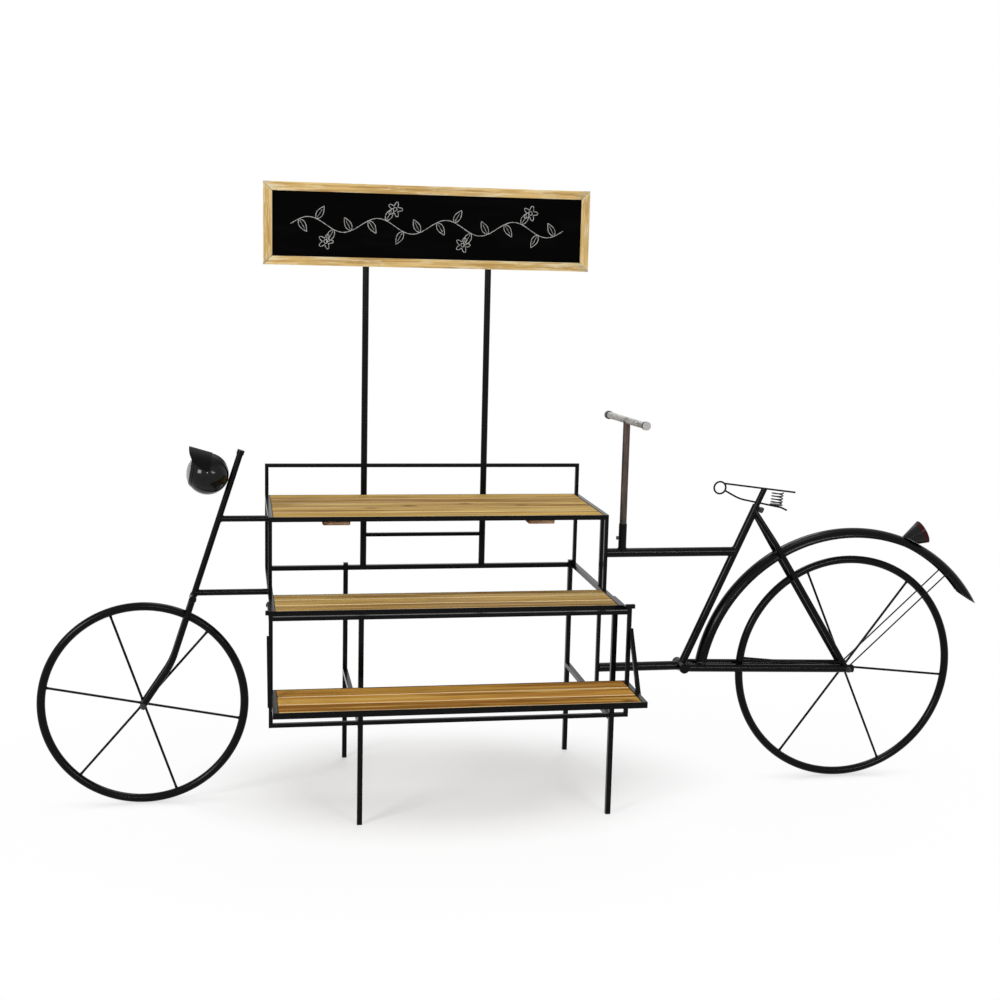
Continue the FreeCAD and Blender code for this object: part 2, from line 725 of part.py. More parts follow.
# Headlamp: a hollow ball with a bezel round its mouth, a domed lens and a flared visor. Its bolt has the
# head inside the ball and goes into the steerer.
LAMP_TURN = "lamp_tilt - 90"
LAMP_REACH = "(lamp_radius + lamp_gap + fork_diameter / 2)"
LAMP_X = f"({fork_x('lamp_z')} - {LAMP_REACH} / cos({FORK_TILT}))"


def lamp_place(ahead, above="0"):
    """A point of the lamp, so far ahead of its centre and so far above its axis."""
    return (f"{LAMP_X} - cos(lamp_tilt) * ({ahead}) + sin(lamp_tilt) * ({above})",
            f"lamp_z + sin(lamp_tilt) * ({ahead}) + cos(lamp_tilt) * ({above})")


def lamp_rod(back, front, radius):
    x, z = lamp_place(back)
    return aimed_rod(x, BIKE_Y, z, LAMP_TURN, f"{front} - {back}", f"2 * {radius}")


def lamp_cone(back, front, back_radius, front_radius):
    x, z = lamp_place(back)
    return aimed_cone(x, z, LAMP_TURN, f"{front} - ({back})", back_radius, front_radius)


lamp_ball = ball(LAMP_X, "lamp_z", "lamp_radius")
lamp_hollow = ball(LAMP_X, "lamp_z", "lamp_radius - lamp_wall")
mouth = lamp_rod("0", "lamp_radius + overrun", "lamp_mouth_radius")
bolt_start = "(lamp_radius - lamp_wall - lamp_bolt_seat - lamp_bolt_head_height)"
bolt_end = f"({LAMP_REACH} - fork_diameter / 2 + lamp_bolt_depth)"
bolt_tilt = f"{FORK_TILT} + 90 deg"
shank = aimed_rod(f"{LAMP_X} + cos({FORK_TILT}) * {bolt_start}", BIKE_Y,
                  f"lamp_z - sin({FORK_TILT}) * {bolt_start}", bolt_tilt, f"{bolt_end} - {bolt_start}",
                  "lamp_bolt_diameter")
bolt_head = aimed_hex(f"{LAMP_X} + cos({FORK_TILT}) * {bolt_start}",
                      f"lamp_z - sin({FORK_TILT}) * {bolt_start}", bolt_tilt, "lamp_bolt_head_height",
                      "lamp_bolt_head")
node("fork_steerer", cut(steerer_bar, crown, shank))
node("headlamp_shell", cut(lamp_ball, lamp_hollow, mouth, shank))
node("headlamp_bolt", fuse(shank, bolt_head))
bezel = lamp_cone("lamp_ring_back", "lamp_ring_front", "lamp_ring_radius", "lamp_ring_lip")
node("headlamp_ring", cut(bezel, lamp_rod("0", "lamp_ring_front + overrun", "lamp_ring_bore"), lamp_ball))
lens_x, lens_z = lamp_place("lens_front - lens_curve")
node("headlamp_lens", common(lamp_rod("lens_back", "lens_front", "(lamp_ring_bore - lens_play)"),
                             ball(lens_x, lens_z, "lens_curve")))
VISOR_BORE = "(lamp_radius + visor_play)"
visor_outer = lamp_cone("-visor_back", "visor_front", f"{VISOR_BORE} + visor_wall",
                        f"{VISOR_BORE} + visor_wall + visor_flare")
visor_inner = lamp_cone("-visor_back", "visor_front", VISOR_BORE, f"{VISOR_BORE} + visor_flare")
edge_x, edge_z = lamp_place("0", "visor_edge_above")
visor_edge = cross_rod(edge_x, edge_z, "lamp_radius + visor_flare + overrun", "2 * visor_edge_radius")
node("headlamp_visor", common(cut(visor_outer, visor_inner), visor_edge))

# Rear frame: two posts on the rack's right end, then the bicycle's tubes.
rear_posts = []
for z0, z1 in ((BASE_TOP, TOP_UNDER), ("bracket_z - lower_post_overlap", BASE_UNDER)):
    rear_posts.append(box("rack_width - bar_side", "rack_width", f"{BIKE_Y} - bar_side / 2",
                          f"{BIKE_Y} + bar_side / 2", z0, z1))
node("rear_posts", *rear_posts)
SEAT_LEAN = "((seat_top_x - bracket_x) / (seat_top_z - bracket_z))"
SEAT_TILT = "atan2(seat_top_x - bracket_x; seat_top_z - bracket_z)"


def seat_place(drop):
    """A point of the seat tube's line, so far below its top."""
    return f"seat_top_x - sin({SEAT_TILT}) * ({drop})", f"seat_top_z - cos({SEAT_TILT}) * ({drop})"


def seat_x(z):
    return f"(bracket_x + ({z} - bracket_z) * {SEAT_LEAN})"


BRACKET_REACH = "chain_stay_spread + chain_stay_diameter / 2"
bracket = cross_rod("bracket_x", "bracket_z", BRACKET_REACH, "bracket_diameter")
node("bottom_bracket", bracket)
seat_bar = rod(("bracket_x", "bracket_z"), ("seat_top_x", "seat_top_z"), BIKE_Y, "seat_tube_diameter")
top_bar = rod(("rack_width", "top_tube_z"), (seat_x("top_tube_z"), "top_tube_z"), BIKE_Y,
              "top_tube_diameter")
node("top_tube", cut(top_bar, seat_bar))
lower_bar = rod(("rack_width", "bracket_z"), ("bracket_x", "bracket_z"), BIKE_Y, "lower_tube_diameter")
node("lower_tube", cut(lower_bar, bracket, seat_bar))
bore_x, bore_z = seat_place("seat_bore_depth")
seat_bore = aimed_rod(bore_x, BIKE_Y, bore_z, SEAT_TILT, "seat_bore_depth + overrun",
                      "seat_post_diameter + 2 * post_play")
screw_x, screw_z = seat_place("seat_screw_drop")
SCREW_TILT = f"{SEAT_TILT} + 90 deg"
seat_screw_hole = aimed_rod(screw_x, BIKE_Y, screw_z, SCREW_TILT, "seat_tube_diameter",
                            "screw_diameter + 2 * screw_play")
node("seat_tube", cut(seat_bar, bracket, seat_bore, seat_screw_hole))

rear_axle = cross_rod("rear_hub_x", REAR_HUB_Z, f"{BRACKET_REACH} + nut_height + axle_end", "axle_diameter")
STAY_END = ("rear_hub_x + chain_stay_tail", REAR_HUB_Z)
chain_bars = []
chain_stays = []
for side in ("-", "+"):
    y = f"{BIKE_Y} {side} chain_stay_spread"
    stay_bar = rod(("bracket_x", "bracket_z"), STAY_END, y, "chain_stay_diameter")
    stay_bore = rod(("bracket_x", "bracket_z"), (f"{STAY_END[0]} + overrun", STAY_END[1]), y,
                    "chain_stay_diameter - 2 * chain_stay_wall")
    chain_bars.append(stay_bar)
    chain_stays.append(cut(stay_bar, bracket, stay_bore, rear_axle))
node("chain_stays", *chain_stays)

seat_lean = (size("seat_top_x") - size("bracket_x")) / (size("seat_top_z") - size("bracket_z"))
stay_top_x = size("bracket_x") + (size("seat_stay_top_z") - size("bracket_z")) * seat_lean
seat_stays = []
stay_bars = []
for side, chain_bar in zip((-1, 1), chain_bars):
    y = bike_y + side * size("chain_stay_spread")
    top_y = bike_y + side * size("seat_stay_top_spread")
    top_point = FreeCAD.Vector(stay_top_x, top_y, size("seat_stay_top_z"))
    bend_point = FreeCAD.Vector(size("seat_stay_bend_x"), y, size("seat_stay_bend_z"))
    foot_point = FreeCAD.Vector(size("rear_hub_x"), y, size("rear_hub_z"))
    path = bent_path((top_point, bend_point, foot_point), size("seat_stay_bend_radius"))
    stay_bar = swept_bar(path, size("seat_stay_diameter"))
    stay_bars.append(stay_bar)
    seat_stays.append(cut(stay_bar, seat_bar, chain_bar))
node("seat_stays", *seat_stays)

# Mudguard: a half-round channel bent over the wheel, notched round the seat stays, with a pointed tail.


def guard_ring(section_radius):
    hoop = doc.addObject("Part::Torus", "GuardRing")
    bind(hoop, Radius1="guard_radius", Radius2=section_radius, Angle3="guard_front_angle - guard_tip_angle")
    hoop.Placement = FreeCAD.Placement(FreeCAD.Vector(), FreeCAD.Rotation(ALONG_Z, 1))
    hoop.setExpression("Placement.Rotation.Angle", bound("guard_tip_angle"))
    return hoop


guard_core = doc.addObject("Part::Cylinder", "GuardCore")
bind(guard_core, Radius="guard_radius", Height="guard_width + 2 * overrun")
guard_core.setExpression("Placement.Base.z", bound("-guard_width / 2 - overrun"))
tail_tool = doc.addObject("Part::Box", "TailTool")
bind(tail_tool, Length="guard_width + 4 * overrun", Width="guard_width", Height="guard_width + 2 * overrun")
tail_tool.Placement = FreeCAD.Placement(FreeCAD.Vector(), FreeCAD.Rotation(ALONG_Z, 1))
tail_tool.setExpression("Placement.Rotation.Angle", bound("guard_tail_cut"))
tail_tool.setExpression(
    "Placement.Base.x", bound(f"{GUARD_CROWN} * cos(guard_tip_angle) - overrun * cos(guard_tail_cut)"))
tail_tool.setExpression(
    "Placement.Base.y", bound(f"{GUARD_CROWN} * sin(guard_tip_angle) - overrun * sin(guard_tail_cut)"))
tail_tool.setExpression("Placement.Base.z", bound("-guard_width / 2 - overrun"))
guard = cut(guard_ring("guard_width / 2"), guard_ring("guard_width / 2 - guard_wall"), guard_core,
            tail_tool)
node("mudguard", cut(place(guard, "guard_x", BIKE_Y, "guard_z", ALONG_X, "90"), *stay_bars))
guard_stays = []
STAY_REACH = "(guard_radius + guard_stay_end)"
for side, chain_bar in zip(("-", "+"), chain_bars):
    y = f"{BIKE_Y} {side} (guard_width / 2 + guard_stay_diameter / 2 + guard_stay_play)"
    stay_top = (f"guard_x + {STAY_REACH} * cos(guard_stay_angle)",
                f"guard_z + {STAY_REACH} * sin(guard_stay_angle)")
    stay = rod(("rear_hub_x", REAR_HUB_Z), stay_top, y, "guard_stay_diameter")
    guard_stays.append(cut(stay, chain_bar))
node("mudguard_stays", *guard_stays)

# Tail lamp: a cone that lies on the mudguard's crown, with a red lens at its wide end.
crown_drum = cross_rod("guard_x", "guard_z", "tail_radius + overrun",
                       f"2 * ({GUARD_CROWN} + tail_seat_play)")
TAIL_TURN = "90 - tail_tilt"
TAIL_X = f"(guard_x + ({GUARD_CROWN} + tail_stand) * cos(tail_angle))"
TAIL_Z = f"(guard_z + ({GUARD_CROWN} + tail_stand) * sin(tail_angle))"
TAIL_TAPER = "((tail_radius - tail_back_radius) / tail_length)"


def tail_cone(back, front):
    """A slice of the lamp's cone, between two distances behind its wide end."""
    x = f"{TAIL_X} - cos(tail_tilt) * ({back})"
    z = f"{TAIL_Z} - sin(tail_tilt) * ({back})"
    return aimed_cone(x, z, TAIL_TURN, f"({back}) - ({front})", f"tail_radius - ({back}) * {TAIL_TAPER}",
                      f"tail_radius - ({front}) * {TAIL_TAPER}")


node("tail_lamp_body", cut(tail_cone("tail_length", "tail_lens_depth"), crown_drum))
node("tail_lamp_lens", cut(tail_cone("tail_lens_depth", "0"), crown_drum))

# Handlebar: a cross bar on a post that turns in a socket on the top tube.
SOCKET_TOP = "(top_tube_z + socket_height)"
SOCKET_FLOOR = "(top_tube_z + top_tube_diameter / 2 + socket_floor)"
SOCKET_SCREW_Z = "(top_tube_z + socket_screw_rise)"
socket_bar = upright_rod("handlebar_x", BIKE_Y, "top_tube_z", SOCKET_TOP, "socket_diameter")
socket_bore = upright_rod("handlebar_x", BIKE_Y, SOCKET_FLOOR, f"{SOCKET_TOP} + overrun",
                          "handlebar_post_diameter + 2 * post_play")
socket_screw_hole = aimed_rod("handlebar_x", BIKE_Y, SOCKET_SCREW_Z, "-90", "socket_diameter",
                              "screw_diameter + 2 * screw_play")
node("handlebar_socket", cut(socket_bar, top_bar, socket_bore, socket_screw_hole))
handle_angle = math.radians(size("handlebar_angle"))
HANDLE_AXIS = FreeCAD.Vector(math.cos(handle_angle), math.sin(handle_angle), 0)


def handle_rod(start, end, diameter):
    """A round bar along the turned handlebar, between two distances behind its middle."""
    bar = doc.addObject("Part::Cylinder", "HandleRod")
    bind(bar, Radius=f"({diameter}) / 2", Height=f"({end}) - ({start})")
    return place(bar, f"handlebar_x - sin(handlebar_angle) * ({start})",
                 f"{BIKE_Y} + cos(handlebar_angle) * ({start})", "handlebar_z", HANDLE_AXIS, "-90")


BAR_REACH = "(handlebar_length / 2 - handlebar_cap_floor)"
handlebar_bar = handle_rod(f"-{BAR_REACH}", BAR_REACH, "handlebar_diameter")
node("handlebar_bar", handlebar_bar)
handlebar_post = upright_rod("handlebar_x", BIKE_Y, f"{SOCKET_FLOOR} + post_end_play", "handlebar_z",
                             "handlebar_post_diameter")
node("handlebar_post", cut(handlebar_post, handlebar_bar))
bar_caps = []
for start in ("-handlebar_length / 2", "handlebar_length / 2 - handlebar_cap_height"):
    cap = handle_rod(start, f"{start} + handlebar_cap_height", "handlebar_cap_diameter")
    bar_caps.append(cut(cap, handlebar_bar))
node("handlebar_caps", *bar_caps)

# Wheels: a tube bent to a rim, a hub on the axle and spokes between them.
for name, hub, radius, gap, first_angle in (
        ("front", ("front_hub_x", FRONT_HUB_Z), "front_wheel_radius",
         "fork_spread - fork_diameter / 2", "front_spoke_angle"),
        ("rear", ("rear_hub_x", REAR_HUB_Z), "rear_wheel_radius",
         "chain_stay_spread - chain_stay_diameter / 2", "rear_spoke_angle")):
    node(f"{name}_rim", ring(*hub, radius, "rim_diameter"))
    barrel = cross_rod(*hub, f"{gap} - hub_play", "hub_diameter")
    bore = cross_rod(*hub, f"{gap} + overrun", "axle_diameter + 2 * axle_play")
    spokes = []
    for index in range(SPOKES):
        turn = f"(90 - {first_angle} + {index} * 360 / {SPOKES})"
        spokes.append(aimed_rod(hub[0], BIKE_Y, hub[1], turn, f"{radius} - rim_diameter / 2",
                                "spoke_diameter"))
    node(f"{name}_hub_spokes", cut(fuse(barrel, *spokes), bore))
node("axles", front_axle, rear_axle)
nuts = []
for hub, seat, axle in ((("front_hub_x", FRONT_HUB_Z), "fork_spread + fork_diameter / 2", front_axle),
                        (("rear_hub_x", REAR_HUB_Z), BRACKET_REACH, rear_axle)):
    for start in (f"-({seat}) - nut_height", seat):
        nut = doc.addObject("Part::Prism", "Nut")
        nut.Polygon = 6
        bind(nut, Circumradius="nut_width / 2 / cos(30)", Height="nut_height")
        place(nut, hub[0], f"{BIKE_Y} + {start}", hub[1], ALONG_X, "-90")
        nuts.append(cut(nut, axle))
node("axle_nuts", *nuts)

# Saddle: a wire frame with a nose ring, on a post that slides in the seat tube, and a coil spring behind.
WIRE_START = ("(nose_x + nose_radius * cos(45))", "(nose_z + nose_radius * sin(45))")
top_wire = rod(WIRE_START, ("top_wire_end_x", "top_wire_end_z"), BIKE_Y, "saddle_wire")
WIRE_TILT = f"((top_wire_end_z - {WIRE_START[1]}) / (top_wire_end_x - {WIRE_START[0]}))"
post_foot_x, post_foot_z = seat_place("seat_post_depth")
POST_TOP_Z = (f"(top_wire_end_z + (top_wire_end_x - seat_top_x + seat_top_z * {SEAT_LEAN}) * -{WIRE_TILT})"
              f" / (1 - {WIRE_TILT} * {SEAT_LEAN})")
post_top = (seat_x(f"({POST_TOP_Z})"), POST_TOP_Z)
post_bar = rod((post_foot_x, post_foot_z), post_top, BIKE_Y, "seat_post_diameter")
node("seat_post", cut(post_bar, top_wire))


def saddle_point(x, z):
    return FreeCAD.Vector(x, bike_y, z)


nose_angle = math.atan2(size("low_wire_bend_z") - size("nose_z"), size("low_wire_bend_x") - size("nose_x"))
nose_point = saddle_point(size("nose_x") + size("nose_radius") * math.cos(nose_angle),
                          size("nose_z") + size("nose_radius") * math.sin(nose_angle))
low_bend = saddle_point(size("low_wire_bend_x"), size("low_wire_bend_z"))
post_point = saddle_point(size("low_wire_post_x"), size("low_wire_post_z"))
low_path = bent_path((nose_point, low_bend, post_point), size("low_wire_radius"))
front_wire = cut(swept_bar(low_path, size("saddle_wire")), post_bar)
nose = ring("nose_x", "nose_z", "nose_radius", "saddle_wire")
node("saddle_frame", fuse(nose, top_wire, front_wire))

tail_bend = saddle_point(size("tail_wire_bend_x"), size("tail_wire_bend_z"))
tail_end = saddle_point(size("tail_wire_end_x"), size("tail_wire_end_z"))
tail_path = bent_path((post_point, tail_bend, tail_end), size("tail_wire_radius"))
tail_wire = cut(swept_bar(tail_path, size("saddle_wire")), post_bar)
SPRING_Z = ("(low_wire_post_z + (spring_x - low_wire_post_x) * (tail_wire_bend_z - low_wire_post_z)"
            " / (tail_wire_bend_x - low_wire_post_x))")
stub = aimed_rod("spring_x", BIKE_Y, SPRING_Z, "spring_tilt", "spring_seat_top", "spring_stub_diameter")
PLATE_RISE = "(spring_seat_top - spring_seat_height)"
seat_plate = aimed_rod(f"spring_x + sin(spring_tilt) * {PLATE_RISE}", BIKE_Y,
                       f"{SPRING_Z} + cos(spring_tilt) * {PLATE_RISE}", "spring_tilt",
                       "spring_seat_height", "spring_seat_diameter")
node("saddle_rear_wire", fuse(tail_wire, stub, seat_plate))


def biarc(start, heading, end, end_heading):
    """Two arcs that meet smoothly, from one point and heading to another."""
    chord = end - start
    both = heading + end_heading
    square = 2 * (1 - heading * end_heading)
    along = 2 * (chord * both)
    reach = (math.sqrt(along ** 2 + 4 * square * (chord * chord)) - along) / (2 * square)
    first_corner = start + heading * reach
    last_corner = end - end_heading * reach
    joint = (first_corner + last_corner) * 0.5
    arcs = []
    for begin, corner, finish in ((start, first_corner, joint), (joint, last_corner, end)):
        chord_middle = (begin + finish) * 0.5
        rise = corner - chord_middle
        half_chord = (finish - begin).Length / 2
        sagitta = half_chord * math.tan(math.atan2(rise.Length, half_chord) / 2)
        arcs.append(Part.Arc(begin, chord_middle + rise.normalize() * sagitta, finish).toShape())
    return arcs


def coil_point(turn):
    """The coil's centre line after so many turns, upright about the z axis."""
    angle = 2 * math.pi * turn
    radius = size("spring_radius")
    return FreeCAD.Vector(radius * math.cos(angle), radius * math.sin(angle),
                          size("spring_height") * turn / SPRING_TURNS)


def coil_heading(turn):
    angle = 2 * math.pi * turn
    run = 2 * math.pi * size("spring_radius")
    climb = size("spring_height") / SPRING_TURNS
    return FreeCAD.Vector(-run * math.sin(angle), run * math.cos(angle), climb).normalize()


steps = [index / BIARCS_PER_TURN for index in range(SPRING_TURNS * BIARCS_PER_TURN + 1)]
coil_start = coil_point(steps[0])
coil_end = coil_point(steps[-1])
straight = size("spring_wire")
coil_edges = [Part.LineSegment(coil_start - coil_heading(steps[0]) * straight, coil_start).toShape()]
for turn, after in zip(steps, steps[1:]):
    coil_edges += biarc(coil_point(turn), coil_heading(turn), coil_point(after), coil_heading(after))
coil_edges.append(Part.LineSegment(coil_end, coil_end + coil_heading(steps[-1]) * straight).toShape())
coil_path = Part.Wire(coil_edges)
spring = swept_bar(coil_path, size("spring_wire"))
rear_slope = ((size("tail_wire_bend_z") - size("low_wire_post_z"))
              / (size("tail_wire_bend_x") - size("low_wire_post_x")))
spring_tilt = math.radians(size("spring_tilt"))
spring_base_z = size("low_wire_post_z") + (size("spring_x") - size("low_wire_post_x")) * rear_slope
spring_foot = FreeCAD.Vector(size("spring_x") + math.sin(spring_tilt) * size("spring_foot"), bike_y,
                             spring_base_z + math.cos(spring_tilt) * size("spring_foot"))
spring.Placement = FreeCAD.Placement(spring_foot - origin, FreeCAD.Rotation(ALONG_Y, size("spring_tilt")))
node("saddle_spring", spring)
TURN_SAMPLES = 48
samples = [coil_point(index / TURN_SAMPLES) for index in range(TURN_SAMPLES * SPRING_TURNS + 1)]
next_turn = TURN_SAMPLES * 3 // 4
turn_gap = min((here - there).Length for number, here in enumerate(samples)
               for there in samples[number + next_turn:])
print(f"least gap between the spring's turns: {turn_gap - size('spring_wire'):.2f} mm")

# Clamp screws: each goes through a tube's wall to the post inside it, with a six-sided head outside.
NECK = "seat_tube_diameter / 2 + screw_neck"
SEAT_POINT = "(seat_post_diameter / 2 + screw_point_play)"
seat_screw = aimed_rod(f"{screw_x} + cos({SEAT_TILT}) * {SEAT_POINT}", BIKE_Y,
                       f"{screw_z} - sin({SEAT_TILT}) * {SEAT_POINT}", SCREW_TILT, f"{NECK} - {SEAT_POINT}",
                       "screw_diameter")
seat_head = aimed_hex(f"{screw_x} + cos({SEAT_TILT}) * ({NECK})",
                      f"{screw_z} - sin({SEAT_TILT}) * ({NECK})", SCREW_TILT, "screw_head_height",
                      "screw_head_width")
node("saddle_screw", fuse(seat_screw, seat_head))
BAR_POINT = "(handlebar_post_diameter / 2 + screw_point_play)"
BAR_NECK = "(socket_diameter / 2 + socket_screw_neck)"
bar_screw = aimed_rod(f"handlebar_x - {BAR_POINT}", BIKE_Y, SOCKET_SCREW_Z, "-90",
                      f"{BAR_NECK} - {BAR_POINT}", "screw_diameter")
bar_head = aimed_hex(f"handlebar_x - {BAR_NECK}", SOCKET_SCREW_Z, "-90", "socket_screw_head_height",
                     "socket_screw_head_width")
node("handlebar_screw", fuse(bar_screw, bar_head))

doc.recompute()
for item in doc.Objects:
    if "Invalid" in item.State or "Error" in item.State:
        raise RuntimeError(f"{item.Name} ({item.Label}) was not built: {item.State}")
for item in sub_parts:
    if item.Shape.isNull() or not item.Shape.isValid() or not item.Shape.Solids:
        raise RuntimeError(f"{item.Label} has no valid solid")
os.makedirs("parts", exist_ok=True)
for item in sub_parts:
    item.Shape.exportStep(f"parts/{item.Label}.step")
print(f"{len(sub_parts)} sub-parts")
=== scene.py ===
# %% [markdown]
# A bicycle plant stand
#
# The stand is a black steel rack with three slatted shelves, dressed as a bicycle, with a chalkboard above.
# Its bars, tubes and joints come ready as a frame of named solids. This lesson gives each solid a finish,
# and makes what a solid model lacks: boards with eased edges, smooth rims, welds, bolts, a spring and chalk
# lines.

# %% Load the frame
import bmesh
import bpy
import json
import numpy as np
from mathutils import Matrix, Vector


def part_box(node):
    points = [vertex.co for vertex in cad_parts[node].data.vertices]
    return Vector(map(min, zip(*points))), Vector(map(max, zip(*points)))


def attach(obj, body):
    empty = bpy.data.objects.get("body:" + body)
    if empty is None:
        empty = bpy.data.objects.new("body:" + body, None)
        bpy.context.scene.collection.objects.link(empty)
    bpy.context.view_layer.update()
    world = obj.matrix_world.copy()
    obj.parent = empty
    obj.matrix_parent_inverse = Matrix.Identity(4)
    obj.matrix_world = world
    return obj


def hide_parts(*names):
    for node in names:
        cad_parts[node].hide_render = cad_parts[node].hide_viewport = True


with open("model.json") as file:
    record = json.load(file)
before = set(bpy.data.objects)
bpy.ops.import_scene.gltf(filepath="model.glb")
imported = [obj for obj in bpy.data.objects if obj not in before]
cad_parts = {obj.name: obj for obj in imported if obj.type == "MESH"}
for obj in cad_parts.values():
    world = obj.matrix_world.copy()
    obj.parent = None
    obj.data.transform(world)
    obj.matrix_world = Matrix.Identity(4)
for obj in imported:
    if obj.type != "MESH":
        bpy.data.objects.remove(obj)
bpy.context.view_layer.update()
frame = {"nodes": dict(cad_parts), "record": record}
nodes = frame["nodes"]

# %% [markdown]
# Measures
#
# The rack was drawn in millimetres from its own left front corner, while a scene in Blender is in metres
# about the object's middle. One function carries a point from the drawing to the scene. The corner of the
# top shelf's frame says where the drawing lies, so nothing has to be fitted by eye.

# %% Carry a drawing's millimetres into the scene
MM = 0.001
TOP_FRAME_UNDER = 757
drawing_corner = np.array(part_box("top_shelf_frame")[0]) - np.array([0, 0, TOP_FRAME_UNDER * MM])


def spot(x, y, z):
    """The scene's point for a drawing's point: its millimetres times 0.001, from the rack's corner."""
    return drawing_corner + np.array([x, y, z], float) * MM


def corners(node):
    """The low and the high corner of a solid's box."""
    return [np.array(corner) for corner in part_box(node)]


def unit(vectors):
    """Each vector divided by its own length."""
    return vectors / np.linalg.norm(vectors, axis=-1, keepdims=True)


print("the rack's corner is at", np.round(drawing_corner, 4))

# %% [markdown]
# Camera
#
# The photograph was taken from left of the middle and a little above, with the camera rolled slightly. Its
# place was worked out from the straight edges of the rack. Three angles give the camera's own axes. The lens
# was measured in pixels, and Blender wants it in millimetres.

# %% Place the camera
LENS_PIXELS = 1479.85
IMAGE_PIXELS = 1000
SENSOR_MM = 36
CAMERA_PLACE = (-0.79813, -3.75617, 1.43943)
YAW, PITCH, ROLL = 0.181712, 0.161805, 0.024603


def camera_axes(yaw, pitch, roll):
    """Right, up and back: level axes from yaw and pitch, then turned about the line of sight by the roll."""
    ahead = np.array([np.sin(yaw) * np.cos(pitch), np.cos(yaw) * np.cos(pitch), -np.sin(pitch)])
    level = np.array([np.cos(yaw), -np.sin(yaw), 0])
    upward = np.cross(level, ahead)
    right = np.cos(roll) * level + np.sin(roll) * upward
    up = np.cos(roll) * upward - np.sin(roll) * level
    return right, up, -ahead


def placed(item, axes, place):
    """Put an object into the scene with its own three axes along the given ones."""
    matrix = np.eye(4)
    matrix[:3, :3] = np.stack(axes, axis=1)
    matrix[:3, 3] = place
    item.matrix_world = Matrix(matrix.tolist())
    bpy.context.scene.collection.objects.link(item)
    return item


camera_data = bpy.data.cameras.new("camera")
camera_data.sensor_width = SENSOR_MM
camera_data.lens = SENSOR_MM * LENS_PIXELS / IMAGE_PIXELS
bpy.context.scene.camera = placed(bpy.data.objects.new("camera", camera_data),
                                  camera_axes(YAW, PITCH, ROLL), CAMERA_PLACE)
print(f"a {camera_data.lens:.1f} mm lens")

# %% [markdown]
# Shader sums
#
# A finish is a small sum that Blender works out at every point of a surface. Written node by node it is
# hard to read. So one class stands for a value that changes over the surface, and Python's own signs add
# the Math nodes for it. Each sign also works with a plain number on its left, as in 1 - mask.

# %% Let Python's signs make Math nodes


class Value:
    """A value that changes over a surface, such as a noise or a sum of noises."""

    def __init__(self, tree, socket):
        self.tree = tree
        self.socket = socket

    def math(self, operation, first, second):
        """A Math node for two values or plain numbers."""
        return self.tree.node("ShaderNodeMath", {"operation": operation}, {0: first, 1: second})

    def __add__(self, other):
        return self.math("ADD", self, other)

    def __radd__(self, other):
        return self.math("ADD", other, self)

    def __sub__(self, other):
        return self.math("SUBTRACT", self, other)

    def __rsub__(self, other):
        return self.math("SUBTRACT", other, self)

    def __mul__(self, other):
        return self.math("MULTIPLY", self, other)

    def __rmul__(self, other):
        return self.math("MULTIPLY", other, self)

    def __truediv__(self, other):
        return self.math("DIVIDE", self, other)

    def __rtruediv__(self, other):
        return self.math("DIVIDE", other, self)

    def most(self, other):
        """The larger of two values."""
        return self.math("MAXIMUM", self, other)

    def rise(self, low, high):
        """0 up to the low value, 1 from the high one on, and a smooth rise between them."""
        return self.tree.node("ShaderNodeMapRange", {"interpolation_type": "SMOOTHSTEP"},
                              {"Value": self, "From Min": low, "From Max": high})


print("values ready")

# %% [markdown]
# Node trees
#
# Every other kind of node comes from one method: it adds the node, sets it, and fills its sockets with
# numbers or links. The kinds that most finishes need get a short name: a noise, a noise drawn out into
# streaks, knots, a mix of two colours, and a bump, which tilts the surface where a height changes.

# %% Make every other node with one method


def colour(value):
    """A written colour gets its alpha; a colour from a node stays as it is."""
    return value if isinstance(value, Value) else (*value, 1)


class Tree:
    """A node tree of a material or of the world."""

    def __init__(self, nodes_and_links):
        self.nodes = nodes_and_links.nodes
        self.links = nodes_and_links.links

    def node(self, kind, settings=None, sockets=None, out=0):
        """Add a node: first its settings, then a number or a link for each of its sockets."""
        made = self.nodes.new(kind)
        for key, setting in (settings or {}).items():
            setattr(made, key, setting)
        for key, value in (sockets or {}).items():
            self.fill(made.inputs[key], value)
        return Value(self, made.outputs[out])

    def fill(self, socket, value):
        """A value is linked to the socket, a plain number is set on it."""
        if isinstance(value, Value):
            self.links.new(value.socket, socket)
        else:
            socket.default_value = value

    def noise(self, place, scale, detail=3, rough=0.55, twist=0):
        """A cloudy value about 0.5: waves of one scale, plus finer and weaker ones for each detail."""
        return self.node("ShaderNodeTexNoise", None, {"Vector": place, "Scale": scale, "Detail": detail,
                                                      "Roughness": rough, "Distortion": twist})

    def stretched(self, place, amounts):
        """A place with each of its axes multiplied, which turns a round noise into streaks."""
        return self.node("ShaderNodeVectorMath", {"operation": "MULTIPLY"}, {0: place, 1: amounts})

    def streaks(self, place, amounts, detail, rough=0.6, twist=0):
        """A noise on a place whose axes are multiplied, slow along the piece and fast across it."""
        return self.noise(self.stretched(place, amounts), 1, detail, rough, twist)

    def knots(self, place, amounts, core, rim):
        """1 at scattered points up to the core's distance, falling to 0 at the rim's."""
        cell = self.node("ShaderNodeTexVoronoi", {"feature": "F1"},
                         {"Vector": self.stretched(place, amounts), "Scale": 1, "Randomness": 1},
                         out="Distance")
        return 1 - cell.rise(core, rim)

    def mix(self, share, first, second):
        """The first colour times 1 - share plus the second times share."""
        return self.node("ShaderNodeMix", {"data_type": "RGBA"},
                         {0: share, 6: colour(first), 7: colour(second)}, out=2)

    def bump(self, height, strength, distance):
        """The surface's normal, tilted by the slope of a height."""
        return self.node("ShaderNodeBump", None,
                         {"Strength": strength, "Distance": distance, "Height": height})


print("trees ready")

